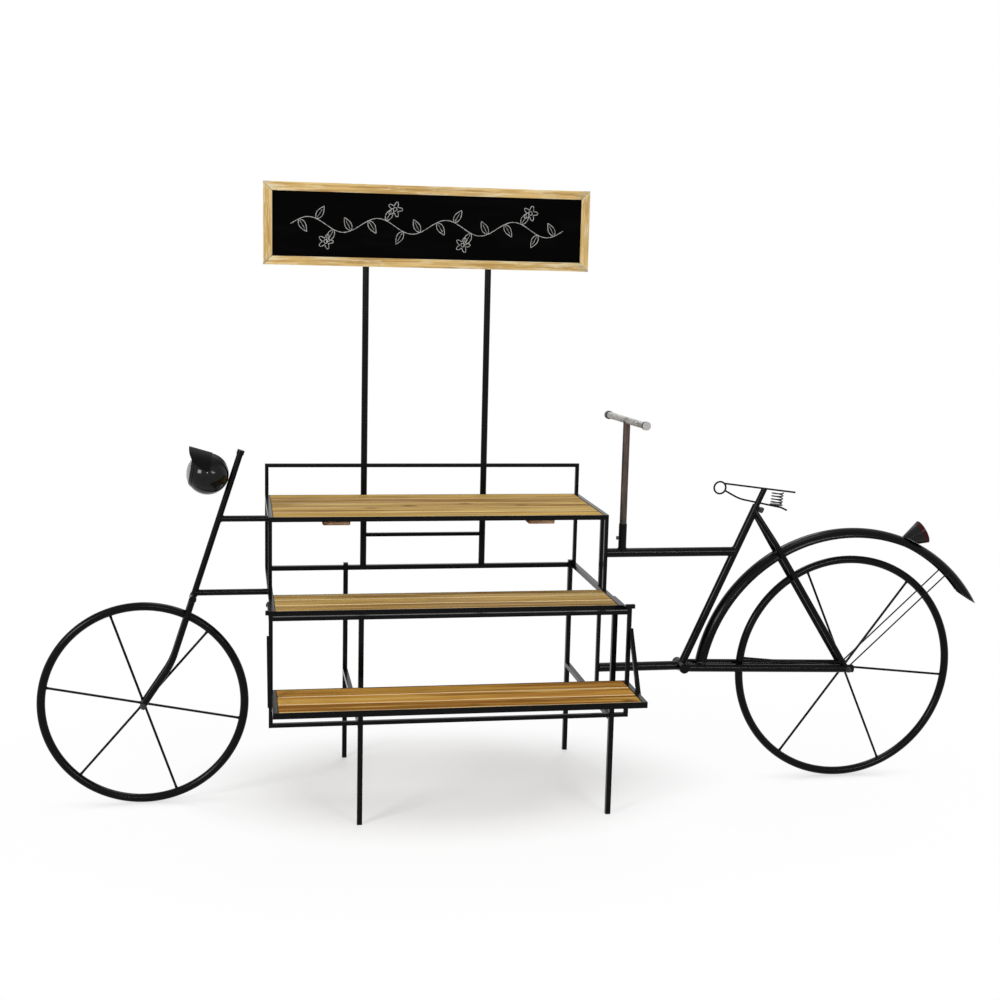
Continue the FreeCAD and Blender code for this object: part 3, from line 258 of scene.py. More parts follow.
# %% [markdown]
# Finishes
#
# A material is a node tree that ends in a shader. The stand's finishes use the Principled shader, whose
# sockets are named after what they do, so a finish is written as those names with their values. The frame's
# record gives each solid the name of a slot, and the solids of one slot get the same finish.

# %% Fill a shader's sockets by name


class Finish(Tree):
    """A material: one Principled shader whose sockets are filled by name."""

    def __init__(self, name):
        self.material = bpy.data.materials.new(name)
        self.material.use_nodes = True
        super().__init__(self.material.node_tree)
        self.place = self.node("ShaderNodeTexCoord", out="Object")

    def mark(self, name, out="Fac"):
        """A value that the piece's own mesh carries from point to point."""
        return self.node("ShaderNodeAttribute", {"attribute_name": name}, out=out)

    def set(self, **values):
        """Fill the shader's sockets, whose names are written with _ for a space."""
        for key, value in values.items():
            socket = self.nodes["Principled BSDF"].inputs[key.replace("_", " ")]
            self.fill(socket, colour(value) if key == "Base_Color" else value)
        return self

    def on(self, *items):
        """Give the items this material and no other."""
        for item in items:
            item.data.materials.clear()
            item.data.materials.append(self.material)


def solids(slot):
    """The solids to which the record gives one material slot."""
    entries = frame["record"]["subparts"]
    return [nodes[entry["node"]] for entry in entries if entry["material_slot"] == slot]


print("finishes ready")

# %% [markdown]
# Satin black paint
#
# Almost all of the stand is steel bar and tube under satin black paint. Sprayed paint is never even: it has
# a faint orange peel, its gloss wanders, and hands and flower pots leave dull scuffs. Noises from coarse to
# fine make that, and the shader reflects little, so that the black stays black in a white room.

# %% Paint the steel
PAINT = (0.0014, 0.0014, 0.0016)
SCUFF = (0.012, 0.0115, 0.011)


def satin_black():
    """Black, greyer where a coarse and a fine noise add up high, with a fine peel in the bump."""
    paint = Finish("satin_black_paint").set(Specular_IOR_Level=0.09)
    peel = paint.noise(paint.place, 600, 2)
    cloud = paint.noise(paint.place, 9, 4)
    rubbed = paint.noise(paint.place, 26, 6, 0.7) * 0.6 + paint.noise(paint.place, 210) * 0.4
    scuff = rubbed.rise(0.57, 0.67)
    return paint.set(Base_Color=paint.mix(scuff * 0.6, PAINT, SCUFF),
                     Roughness=0.18 + cloud * 0.06 + scuff * 0.06,
                     Normal=paint.bump(peel - scuff * 0.4, 0.012, 0.0003))


satin = satin_black()
satin.on(*solids("frame_paint"))
print("painted", len(solids("frame_paint")), "solids")

# %% [markdown]
# Lamps
#
# The headlamp and the tail lamp are pressed steel with a gloss enamel, which shows the lights as bright
# spots. A thin clear coat over an almost black base does that. Dust dulls the top of the headlamp, so the
# coat is taken away there. The front lens is smoky grey with fine ribs across it, and the rear one is a
# dark red plastic.

# %% Finish the lamps and their lenses
HEADLAMP_HEIGHT = 0.876
HEADLAMP_RADIUS = 0.054


def gloss_enamel():
    """Black with some haze, under a coat that falls to almost nothing above the dust line."""
    enamel = Finish("gloss_black_enamel")
    enamel.set(Specular_IOR_Level=0.04, Coat_IOR=1.25, Coat_Roughness=0.05)
    haze = enamel.noise(enamel.place, 55, 4)
    height = enamel.node("ShaderNodeSeparateXYZ", None, {0: enamel.place}, out="Z")
    dust = ((height - HEADLAMP_HEIGHT) / HEADLAMP_RADIUS + haze * 0.2).rise(0.5, 0.75)
    return enamel.set(Base_Color=enamel.mix(haze, (0.0015, 0.0015, 0.0018), (0.004, 0.004, 0.0045)),
                      Roughness=0.2 + haze * 0.1 + dust * 0.3,
                      Coat_Weight=(0.85 + haze * 0.15) * (1 - dust * 0.95))


def lens_plastic(name, dark, pale, ribs):
    """Dark and pale by a cloud and by the ribs, which also make the bump."""
    lens = Finish(name)
    cloud = lens.noise(lens.place, 45, 3)
    height = lens.node("ShaderNodeTexWave", {"bands_direction": "Y"}, {"Vector": lens.place, "Scale": ribs})
    return lens.set(Base_Color=lens.mix(cloud * 0.6 + height * 0.4, dark, pale),
                    Roughness=0.1 + cloud * 0.15, Normal=lens.bump(height, 0.25, 0.0008))


gloss_enamel().on(*solids("lamp_gloss"))
grey_lens = lens_plastic("smoky_grey_lens", dark=(0.16, 0.165, 0.17), pale=(0.3, 0.305, 0.31), ribs=60)
grey_lens.on(*solids("lens_grey"))
red_lens = lens_plastic("dark_red_lens", dark=(0.014, 0.0008, 0.0008), pale=(0.05, 0.003, 0.003), ribs=45)
red_lens.set(Specular_IOR_Level=0.12).on(*solids("lens_red"))
print("lamps finished")

# %% [markdown]
# Bare and rusty steel
#
# The handlebar looks old: its post has gone brown with rust, and its cross bar is bare grey steel with dark
# grime and bright scratches along it. Rust is rough and no longer a metal to the eye, so the same noise
# that browns the colour also lowers the shader's Metallic value and raises its roughness.

# %% Finish the handlebar


def rusted():
    """Dark to brown by blotches, paler along streaks; more rust is less metal and rougher."""
    rust = Finish("rusty_dark_steel")
    blotch = rust.noise(rust.stretched(rust.place, (1, 1, 0.3)), 42, 6, 0.65)
    streak = rust.noise(rust.stretched(rust.place, (1, 1, 0.08)), 210, 4, 0.6)
    brown = rust.mix(blotch.rise(0.34, 0.66), (0.012, 0.0085, 0.007), (0.06, 0.032, 0.021))
    return rust.set(Base_Color=rust.mix(streak.rise(0.55, 0.7) * 0.6, brown, (0.13, 0.1, 0.085)),
                    Metallic=0.5 - blotch * 0.4, Roughness=0.4 + blotch * 0.35,
                    Normal=rust.bump(blotch + streak, 0.25, 0.0005))


def bare_steel():
    """Grey, darker by grime and brighter along scratches; more grime is less metal and rougher."""
    steel = Finish("worn_grey_steel")
    grime = steel.noise(steel.stretched(steel.place, (1, 0.35, 1)), 60, 6, 0.65)
    scratch = steel.noise(steel.stretched(steel.place, (1, 0.06, 1)), 300, 3, 0.6)
    grey = steel.mix(grime.rise(0.46, 0.72), (0.34, 0.33, 0.32), (0.11, 0.1, 0.09))
    return steel.set(Base_Color=steel.mix(scratch.rise(0.54, 0.68) * 0.7, grey, (0.5, 0.49, 0.48)),
                     Metallic=0.8 - grime * 0.5, Roughness=0.3 + grime * 0.4,
                     Normal=steel.bump(scratch + grime, 0.2, 0.0004))


rusted().on(*solids("rusty_steel"))
bare_steel().on(nodes["handlebar_bar"])
print("handlebar finished")

# %% [markdown]
# Small parts
#
# The screws, the feet and the headlamp's visor need little: one fine speckle changes their colour,
# roughness and surface. The caps on the handlebar's ends are dark round the sides, and their end faces are
# painted a lighter grey as lit faces, a painted highlight. The bar is turned a little, so the distance along
# its own heading tells a cap's face from its side.

# %% Finish the caps, the fasteners and the feet
BIKE_Y = 50
HANDLE_X, HANDLE_Z = 953, 1019
HANDLE_HALF = 140 * MM
HANDLE_TURN = np.radians(6.6)
CAP_SIDE, CAP_FACE = 1.2 * MM, 0.4 * MM


def speckled(name, dark, pale, metal, rough, scale):
    """A small part's finish: one fine speckle in its colour, its roughness and its surface."""
    finish = Finish(name).set(Metallic=metal, Specular_IOR_Level=0.3)
    speck = finish.noise(finish.place, scale, 4)
    return finish.set(Base_Color=finish.mix(speck, dark, pale), Roughness=rough + speck * 0.25,
                      Normal=finish.bump(speck, 0.2, 0.0003))


def caps_with_painted_lit_faces():
    """Dark round the sides, and a lighter grey painted on the two end faces as lit faces, by the distance
    along the turned bar.
    """
    caps = Finish("steel_caps_painted_lit_faces").set(Metallic=0.6)
    centre = spot(HANDLE_X, BIKE_Y, HANDLE_Z)
    heading = np.array([np.sin(HANDLE_TURN), -np.cos(HANDLE_TURN), 0])
    along = caps.node("ShaderNodeVectorMath", {"operation": "DOT_PRODUCT"},
                      {0: caps.place, 1: heading.tolist()}, out="Value") - float(centre @ heading)
    # Painted highlight: the end faces get a lighter grey that stands for the light falling on them.
    face = (along * along).rise((HANDLE_HALF - CAP_SIDE) ** 2, (HANDLE_HALF - CAP_FACE) ** 2)
    speck = caps.noise(caps.place, 260, 5, 0.65)
    side = caps.mix(speck, (0.018, 0.016, 0.015), (0.06, 0.055, 0.05))
    return caps.set(Base_Color=caps.mix(face * (0.6 + speck * 0.4), side, (0.36, 0.35, 0.34)),
                    Roughness=0.35 + speck * 0.2, Normal=caps.bump(speck, 0.2, 0.0003))


caps_with_painted_lit_faces().on(nodes["handlebar_caps"])
visor = speckled("matt_black_visor", dark=(0.0015, 0.0015, 0.0016), pale=(0.004, 0.004, 0.004),
                 metal=0, rough=0.5, scale=240)
visor.set(Specular_IOR_Level=0.04).on(nodes["headlamp_visor"])
zinc = speckled("dark_zinc_plate", dark=(0.02, 0.02, 0.021), pale=(0.06, 0.059, 0.057),
                metal=0.7, rough=0.28, scale=190)
zinc.on(*solids("fastener_steel"))
rubber = speckled("black_foot_rubber", dark=(0.004, 0.004, 0.004), pale=(0.016, 0.015, 0.015),
                  metal=0, rough=0.6, scale=240)
rubber.on(*solids("foot_rubber"))
print("caps, visor,", len(solids("fastener_steel")), "fastener solids and the feet finished")

# %% [markdown]
# Strips of mesh
#
# Every new piece here is a closed outline carried along a path: a board is a rounded rectangle along a
# line, a rim is a circle round a circle, a weld is a circle along the seam of two tubes. So a piece only
# gathers rings of points, and one class joins each ring to the next. The points come as whole arrays, which
# is quick and short.

# %% Join rings of points into one piece


class Piece:
    """Rings of points, strip by strip, that become one object riding on a body of the frame."""

    def __init__(self, name):
        self.name = name
        self.points = []
        self.faces = []
        self.marks = {}
        self.count = 0

    def add(self, rings, wrap=False, **marks):
        """Face (i, j) joins rings i and i + 1 between points j and j + 1; a flat face closes an open end."""
        number = np.arange(rings.shape[0] * rings.shape[1]).reshape(rings.shape[:2]) + self.count
        row = np.vstack((number, number[:1])) if wrap else number
        beside = np.roll(row, -1, axis=1)
        quads = np.stack((row[:-1], beside[:-1], beside[1:], row[1:]), axis=-1)
        self.faces += quads.reshape(-1, 4).tolist()
        if not wrap:
            self.faces += [number[0, ::-1].tolist(), number[-1].tolist()]
        self.points.append(rings.reshape(-1, 3))
        self.count += number.size
        for key, values in marks.items():
            self.marks.setdefault(key, []).append(values.reshape(number.size, -1))

    def make(self, finish, slot, body="stand", replaces=()):
        """Join the points to a mesh with its marks, and give it a finish and a body. The slot is not used."""
        mesh = bpy.data.meshes.new(self.name)
        mesh.from_pydata(np.concatenate(self.points).tolist(), [], self.faces)
        outward = bmesh.new()
        outward.from_mesh(mesh)
        bmesh.ops.recalc_face_normals(outward, faces=outward.faces)
        outward.to_mesh(mesh)
        outward.free()
        for key, strips in self.marks.items():
            values = np.concatenate(strips)
            kind, field = ("FLOAT_VECTOR", "vector") if values.shape[1] == 3 else ("FLOAT", "value")
            mesh.attributes.new(key, kind, "POINT").data.foreach_set(field, values.ravel())
        mesh.shade_smooth()
        item = bpy.data.objects.new(self.name, mesh)
        bpy.context.scene.collection.objects.link(item)
        item.modifiers.new("flat_faces_stay_flat", "WEIGHTED_NORMAL")
        finish.on(item)
        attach(item, body)
        if replaces:
            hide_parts(*replaces)
        print(self.name, "has", len(self.faces), "faces")


print("pieces ready")

# %% [markdown]
# Round bars
#
# Rims, spokes, wire, weld beads and chalk strokes are all a circle carried along a path. At each point of
# the path the circle has to stand square to the way ahead. One steady direction, named for each piece,
# fixes how the circle is turned there, so the mesh doesn't twist.

# %% Carry a circle along a path


def around(steps):
    """The angles of even steps round a circle."""
    return np.linspace(0, 2 * np.pi, steps, endpoint=False)


def tube(path, radius, reference, sides=12, flat=1, closed=False):
    """Each path point plus radius times (cos, sin) of the turn, on two axes square to the path's heading.

    The first axis is reference x heading and the second heading x first, shortened where the tube is flat.
    """
    heading = np.roll(path, -1, 0) - np.roll(path, 1, 0) if closed else np.gradient(path, axis=0)
    heading = unit(heading)
    side = unit(np.cross(reference, heading))
    other = np.cross(heading, side) * flat
    turn = around(sides)[:, None]
    reach = np.broadcast_to(radius, len(path))[:, None, None]
    return path[:, None] + reach * (np.cos(turn) * side[:, None] + np.sin(turn) * other[:, None])


print("tubes ready")

# %% [markdown]
# Boards
#
# The shelves are planed pine boards with eased edges. A box would show hard black corners, and a bevel on
# it would still be perfectly straight. So a rounded outline is carried along each board, drawn in at both
# ends, and moved by a few tenths of a millimetre along the way. Each point also keeps its place in the
# board, because the grain follows the board and not the scene.

# %% Carry a rounded outline along a board
EASE = 0.0028
END_TURNS = np.radians([82, 60, 36, 12])
CORNER_STEPS = 5
QUARTER = np.linspace(0, np.pi / 2, CORNER_STEPS)
OUTLINE_TURN = (np.arange(4)[:, None] * np.pi / 2 + QUARTER).ravel()
OUTLINE_EDGE = np.tile(np.sin(2 * QUARTER), 4)
SIDE_WAVE, UP_WAVE, UP_SHARE = 9, 6, 0.6
GRAIN_SPREAD = 9
rng = np.random.default_rng(12)


def plank(low, high, along, steps=22, bow=0.0003):
    """Corner centres plus a radius times (cos, sin): EASE along the board, and less at its ends.

    At an end the radius is EASE cos(t) while the outline moves out by EASE sin(t), a quarter circle. The
    middle is moved across by slow sine waves of the bow's height, which fade out towards the ends.
    """
    low, high = np.array(low), np.array(high)
    first, second = [axis for axis in range(3) if axis != along]
    length = high[along] - low[along]
    near = EASE * (1 - np.sin(END_TURNS))
    station = np.concatenate((near, np.linspace(EASE, length - EASE, steps), length - near[::-1]))
    drawn_in = EASE * np.cos(END_TURNS)
    radius = np.concatenate((drawn_in, np.full(steps, EASE), drawn_in[::-1]))[:, None]
    half = (high - low) / 2 - EASE
    across = np.repeat([1, -1, -1, 1], CORNER_STEPS) * half[first] + radius * np.cos(OUTLINE_TURN)
    upward = np.repeat([1, 1, -1, -1], CORNER_STEPS) * half[second] + radius * np.sin(OUTLINE_TURN)
    phase = rng.uniform(0, 2 * np.pi, 2)
    fade = bow * np.sin(np.pi * station / length)
    across += (fade * np.sin(SIDE_WAVE * station + phase[0]))[:, None]
    upward += (UP_SHARE * fade * np.sin(UP_WAVE * station + phase[1]))[:, None]
    middle = (low + high) / 2
    rings = np.empty(across.shape + (3,))
    rings[..., along] = (low[along] + station)[:, None]
    rings[..., first] = middle[first] + across
    rings[..., second] = middle[second] + upward
    shift = rng.uniform(0, GRAIN_SPREAD, 3)
    grain = np.stack((np.broadcast_to(station[:, None], across.shape), across, upward), axis=-1) + shift
    edge = np.broadcast_to(OUTLINE_EDGE, across.shape)
    return rings, {"grain": grain, "edge": edge, "tone": np.full(across.shape, rng.uniform())}


print("board outline of", len(OUTLINE_TURN), "points")

# %% [markdown]
# Slats
#
# The top shelf has five slats and the other two have three each, with a narrow gap between them. Each shelf
# becomes one piece, and the box of its solids gives the room that its slats share.

# %% Cut the shelves into slats
SLAT_GAP = 3 * MM


def boards(name, node, count):
    """Cut a solid's box along y into boards of one width with the same gap between them."""
    low, high = corners(node)
    width = (high[1] - low[1] - (count - 1) * SLAT_GAP) / count
    piece = Piece(name)
    for index in range(count):
        start = low[1] + index * (width + SLAT_GAP)
        rings, marks = plank((low[0], start, low[2]), (high[0], start + width, high[2]), along=0)
        piece.add(rings, **marks)
    print(f"{name}: {count} boards, {width / MM:.1f} mm wide")
    return piece


top_boards = boards("top_shelf_boards", "top_shelf_slats", 5)
mid_boards = boards("mid_shelf_boards", "mid_shelf_slats", 3)
bottom_boards = boards("bottom_shelf_boards", "bottom_shelf_slats", 3)

# %% [markdown]
# Honey pine
#
# The boards have an oiled honey colour with long streaks: brown bands, pale sapwood, thin dark lines and a
# few knots. A noise that runs twenty times or more faster across a board than along it gives such streaks
# at any width. The boards of one shelf differ in tone, and the lower the shelf, the warmer its wood is. The
# middle shelf's copy is also made brighter, as painted light that makes up for the shade under the top shelf.

# %% Finish the shelf boards
PAINTED_EDGE_HIGHLIGHT = (0.84, 0.68, 0.43)


def pine(name, honey, brown, rosy, pale, dark):
    """Honey to brown by bands and tone, then rosy, pale and dark streaks, knots, and cream painted along the
    eased edges as a highlight.
    """
    wood = Finish(name).set(Specular_IOR_Level=0.005)
    grain = wood.mark("grain", "Vector")
    band = wood.streaks(grain, (1.9, 40, 30), 5, twist=0.5)
    line = wood.streaks(grain, (3.5, 260, 200), 4)
    flush = wood.streaks(grain, (3.2, 30, 22), 4)
    sap = wood.streaks(grain, (1.7, 60, 45), 3, twist=0.6)
    knot = wood.knots(grain, (4.6, 9, 2), 0.05, 0.15)
    body = wood.mix((band + wood.mark("tone") * 0.2 - 0.1).rise(0.42, 0.6), honey, brown)
    body = wood.mix(flush.rise(0.5, 0.68) * 0.75, body, rosy)
    body = wood.mix(sap.rise(0.52, 0.66) * 0.85, body, pale)
    body = wood.mix(line.rise(0.5, 0.68) * 0.5, body, dark)
    body = wood.mix(knot * 0.8, body, dark)
    # Painted highlight: the eased edges are mixed towards cream, which stands for light caught along them.
    edge_highlight = wood.mark("edge") * (0.3 + band * 0.5)
    return wood.set(Base_Color=wood.mix(edge_highlight, body, PAINTED_EDGE_HIGHLIGHT), Roughness=0.45 + line * 0.2 - edge_highlight * 0.1,
                    Normal=wood.bump(line * 0.6 + band * 0.4 - knot * 0.3, 0.3, 0.0006))


honey_pine = pine("honey_pine", honey=(0.54, 0.345, 0.095), brown=(0.29, 0.16, 0.045),
                  rosy=(0.37, 0.22, 0.1), pale=(0.64, 0.49, 0.19), dark=(0.13, 0.07, 0.022))
top_boards.make(honey_pine, "slat_wood", replaces=["top_shelf_slats"])
# Painted light: this copy is brighter than the top shelf's, which makes up for the shade under the top shelf.
mid_pine_painted_light = pine("mid_pine_painted_light", honey=(0.58, 0.385, 0.122), brown=(0.27, 0.147, 0.04),
                  rosy=(0.43, 0.275, 0.138), pale=(0.74, 0.57, 0.25), dark=(0.11, 0.06, 0.02))
mid_boards.make(mid_pine_painted_light, "slat_wood", replaces=["mid_shelf_slats"])
amber_pine = pine("amber_pine", honey=(0.52, 0.268, 0.05), brown=(0.24, 0.1, 0.016),
                  rosy=(0.37, 0.158, 0.037), pale=(0.63, 0.41, 0.115), dark=(0.085, 0.036, 0.008))
bottom_boards.make(amber_pine, "slat_wood", replaces=["bottom_shelf_slats"])

# %% [markdown]
# Battens
#
# Two short boards lie crosswise under the top shelf and hold its slats together. Only their front ends
# show, a redder wood darkened further as painted shade from the shelf above, with a pale edge that is the
# pine's painted edge highlight. They are made like the shelf boards, along y.

# %% Make the battens
BATTEN_WIDTH = 72 * MM
batten_low, batten_high = corners("top_shelf_battens")
battens = Piece("shelf_battens")
for left in (batten_low[0], batten_high[0] - BATTEN_WIDTH):
    strip, strip_marks = plank((left, batten_low[1], batten_low[2]),
                               (left + BATTEN_WIDTH, batten_high[1], batten_high[2]), along=1, steps=10)
    battens.add(strip, **strip_marks)
# Painted shade: these colours are darkened to stand for the shade under the top shelf.
red_pine_with_painted_shade = pine("red_pine_with_painted_shade", honey=(0.24, 0.085, 0.035), brown=(0.15, 0.045, 0.02),
                rosy=(0.2, 0.06, 0.025), pale=(0.42, 0.22, 0.09), dark=(0.07, 0.022, 0.01))
battens.make(red_pine_with_painted_shade, "slat_wood", replaces=["top_shelf_battens"])

# %% [markdown]
# Sign frame
#
# The sign is framed by four mitred bars of pale wood with the last of a whitewash on them. A bar's outline
# has eased corners and the groove that the board sits in. Carried from mitre to mitre, each point of the
# outline starts as far along as it lies inside the outer edge, which cuts both ends at 45 degrees.

# %% Make the mitred bars
SIGN_BAR = 24 * MM
SIGN_PLAY = 0.15 * MM
SIGN_EASE = 1.4 * MM
SIGN_STEPS = 30
MITRE_WEAR = 5 * MM
GROOVE_FRONT, GROOVE_BACK, GROOVE_DEPTH = 5.8 * MM, 12.2 * MM, 8.2 * MM
sign_low, sign_high = corners("sign_frame")
sign_width, sign_depth, sign_height = sign_high - sign_low


def bar_outline():
    """Distance inside the outer edge and behind the front face: four quarter circles, then the groove."""
    wide, deep = SIGN_BAR - SIGN_EASE, sign_depth - SIGN_EASE
    inside = np.repeat([wide, SIGN_EASE, SIGN_EASE, wide], CORNER_STEPS)
    behind = np.repeat([deep, deep, SIGN_EASE, SIGN_EASE], CORNER_STEPS)
    groove = np.array([[SIGN_BAR, GROOVE_FRONT], [SIGN_BAR - GROOVE_DEPTH, GROOVE_FRONT],
                       [SIGN_BAR - GROOVE_DEPTH, GROOVE_BACK], [SIGN_BAR, GROOVE_BACK]])
    outline = np.stack((inside + SIGN_EASE * np.cos(OUTLINE_TURN),
                        behind + SIGN_EASE * np.sin(OUTLINE_TURN)), axis=1)
    return np.vstack((outline, groove)), np.concatenate((OUTLINE_EDGE, np.zeros(len(groove))))


def sign_bar(start, heading, inward, length):
    """Start plus heading times s plus inward times d, with s from d to length - d for each depth d."""
    outline, eased = bar_outline()
    inside, behind = outline[:, 0], outline[:, 1]
    share = np.linspace(0, 1, SIGN_STEPS)[:, None]
    run = (inside + SIGN_PLAY) * (1 - share) + (length - inside - SIGN_PLAY) * share
    rings = (np.array(start) + run[..., None] * np.array(heading) + inside[:, None] * np.array(inward)
             + behind[:, None] * np.array([0, 1, 0]))
    shift = rng.uniform(0, GRAIN_SPREAD, 3)
    grain = np.stack((run, np.broadcast_to(inside, run.shape), np.broadcast_to(behind, run.shape)), axis=-1)
    seam = np.broadcast_to(np.exp(-np.minimum(share, 1 - share) * length / MITRE_WEAR), run.shape)
    return rings, {"grain": grain + shift, "edge": np.maximum(np.broadcast_to(eased, run.shape), seam),
                   "tone": np.full(run.shape, rng.uniform())}


sign_bars = Piece("sign_bars")
for corner, heading, inward, length in (
        ((sign_low[0], sign_low[1], sign_low[2]), (1, 0, 0), (0, 0, 1), sign_width),
        ((sign_low[0], sign_low[1], sign_high[2]), (1, 0, 0), (0, 0, -1), sign_width),
        ((sign_low[0], sign_low[1], sign_low[2]), (0, 0, 1), (1, 0, 0), sign_height),
        ((sign_high[0], sign_low[1], sign_low[2]), (0, 0, 1), (-1, 0, 0), sign_height)):
    strip, strip_marks = sign_bar(corner, heading, inward, length)
    sign_bars.add(strip, **strip_marks)
print(f"four bars round {sign_width / MM:.0f} x {sign_height / MM:.0f} mm")

# %% [markdown]
# Whitewash
#
# The whitewash has been rubbed off again, so that it stays in patches, along the edges and at the mitres,
# and the yellow-brown grain shows through. A broad noise along the grain decides where the white is left,
# and the mesh's own mark for edges and mitres adds to it.

# %% Finish the sign's bars


def whitewashed():
    """Two browns by bands, then dark lines and knots, then white in patches and on edges."""
    wood = Finish("whitewashed_pine").set(Specular_IOR_Level=0.1)
    grain = wood.mark("grain", "Vector")
    band = wood.streaks(grain, (5, 120, 90), 5, twist=0.4)
    line = wood.streaks(grain, (9, 420, 300), 4)
    patch = wood.streaks(grain, (11, 150, 120), 5, 0.7)
    knot = wood.knots(grain, (4.4, 14, 3), 0.06, 0.2)
    body = wood.mix(band.rise(0.36, 0.64), (0.645, 0.447, 0.172), (0.405, 0.245, 0.077))
    body = wood.mix(line.rise(0.52, 0.7) * 0.55, body, (0.3, 0.15, 0.05))
    body = wood.mix(knot * 0.75, body, (0.14, 0.07, 0.03))
    white = (patch.rise(0.5, 0.62) * 0.6).most(wood.mark("edge") * patch.rise(0.36, 0.56) * 0.85)
    return wood.set(Base_Color=wood.mix(white, body, (0.76, 0.68, 0.46)), Roughness=0.55 + white * 0.25,
                    Normal=wood.bump(line * 0.5 + white * 0.5, 0.3, 0.0006))


sign_bars.make(whitewashed(), "sign_wood", replaces=["sign_frame"])

# %% [markdown]
# Chalkboard
#
# The panel is painted a dull black. Chalk that has been wiped off leaves a faint grey haze in sweeps from
# side to side, so the colour is lifted a little by a noise that is drawn out along x.

# %% Finish the chalkboard


def chalkboard_paint():
    """Two blacks, mixed by a haze of seven parts sweeps and three parts specks."""
    board = Finish("chalkboard_paint").set(Specular_IOR_Level=0.015)
    sweep = board.noise(board.stretched(board.place, (2, 1, 11)), 2.2, 5, 0.6, 0.5)
    speck = board.noise(board.place, 420)
    haze = sweep.rise(0.45, 0.8) * 0.7 + speck * 0.3
    return board.set(Base_Color=board.mix(haze, (0.0008, 0.0008, 0.0008), (0.003, 0.003, 0.003)),
                     Roughness=0.75 + speck * 0.2, Normal=board.bump(speck, 0.15, 0.0002))


chalkboard_paint().on(*solids("chalk_black"))
print("chalkboard finished")

# %% [markdown]
# Chalk strokes
#
# The sign carries a plain decoration in white chalk. Every stroke is a flattened tube that lies on the
# board, and its width trembles a little, as a stick of chalk skips on a rough surface. A leaf and a flower
# are each a closed stroke whose shape is one formula, with a rib or a small circle inside.

# %% Shape the strokes, a leaf and a flower
CHALK_RISE = 0.1 * MM
BOARD_FACE_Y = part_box("chalkboard")[0][1] - CHALK_RISE
STROKE = 0.8 * MM
STROKE_FLAT = 0.25
TREMBLE = 0.3
LEAF_STEPS = 16
chalk = Piece("chalk_vine")


def stroke(x, z, closed=False, width=STROKE):
    """A chalk line through drawing points on the board, its width times 1 plus a small random share."""
    path = drawing_corner + np.stack((x, np.zeros_like(x), z), axis=1) * MM
    path[:, 1] = BOARD_FACE_Y
    wide = width * (1 + TREMBLE * rng.standard_normal(len(path)).clip(-1, 1))
    chalk.add(tube(path, wide, (0, 1, 0), sides=8, flat=STROKE_FLAT, closed=closed), wrap=closed)


def leaf(x, z, angle, length, width):
    """Half as wide as width times sin(pi w ** 0.8), at a share w of the length, and a rib in the middle."""
    way = np.concatenate((np.linspace(0, 1, LEAF_STEPS, endpoint=False),
                          np.linspace(1, 0, LEAF_STEPS, endpoint=False)))
    half = width * np.sin(np.pi * way ** 0.8) * np.repeat([1, -1], LEAF_STEPS)
    ahead = length * way
    stroke(x + ahead * np.cos(angle) - half * np.sin(angle),
           z + ahead * np.sin(angle) + half * np.cos(angle), True)
    rib = length * np.linspace(0.1, 0.75, 8)
    stroke(x + rib * np.cos(angle), z + rib * np.sin(angle), width=STROKE * 0.7)


def flower(x, z, radius):
    """A rose line, radius times 0.72 + 0.28 cos(5 t), round a small circle."""
    turn = around(60)
    petal = radius * (0.72 + 0.28 * np.cos(5 * turn))
    stroke(x + petal * np.cos(turn), z + petal * np.sin(turn), True)
    stroke(x + 0.24 * radius * np.cos(turn[::3]), z + 0.24 * radius * np.sin(turn[::3]), True)


print("strokes lie at y =", round(BOARD_FACE_Y, 4))

# %% [markdown]
# Chalk vine
#
# The decoration is one long vine: a wave with leaves in turn below and above it, and a five-petalled flower
# to each wave. The wave is a sine, so the leaves and flowers find their places on it by the same formula.

# %% Draw the vine
VINE_MIDDLE_Z = 1519.5
VINE_START_X, VINE_END_X = 70, 830
VINE_WAVE, VINE_HEIGHT = 190, 20
LEAF_FIRST, LEAF_LAST, LEAF_STEP = 22, 10, VINE_WAVE / 4
LEAF_LENGTH, LEAF_WIDTH = 40, 9
LEAF_LEAN, LEAF_BACK = np.radians([58, 118])
FLOWER_RADIUS, FLOWER_OUT = 21, 46


def vine_z(x):
    """The middle height plus the wave's height times the sine of the way along."""
    return VINE_MIDDLE_Z + VINE_HEIGHT * np.sin(2 * np.pi * (x - VINE_START_X) / VINE_WAVE)


stem = np.linspace(VINE_START_X, VINE_END_X, 220)
stroke(stem, vine_z(stem))
for number, x in enumerate(np.arange(VINE_START_X + LEAF_FIRST, VINE_END_X - LEAF_LAST, LEAF_STEP)):
    side = 1 if number % 2 else -1
    lean = LEAF_LEAN if number % 4 < 2 else LEAF_BACK
    leaf(x, vine_z(x), side * lean, LEAF_LENGTH, LEAF_WIDTH)
for number, x in enumerate(np.arange(VINE_START_X + VINE_WAVE / 2, VINE_END_X, VINE_WAVE)):
    side = 1 if number % 2 else -1
    flower(x, vine_z(x) + side * FLOWER_OUT, FLOWER_RADIUS)
print("the vine has", len(chalk.points), "strokes")

# %% [markdown]
# Chalk
#
# Chalk is a dull white powder that skips the low places of the board. It has no gloss at all, and a fine
# noise lets the dark board through where the stick didn't touch.

# %% Finish the chalk


def chalk_white():
    """Grey to white by one fine noise, which also makes the bump."""
    white = Finish("white_chalk").set(Specular_IOR_Level=0)
    skip = white.noise(white.place, 900, 3, 0.7)
    return white.set(Base_Color=white.mix(skip.rise(0.35, 0.62), (0.1, 0.1, 0.1), (0.62, 0.62, 0.6)),
                     Roughness=0.9, Normal=white.bump(skip, 0.4, 0.0003))


chalk.make(chalk_white(), "chalk_black")

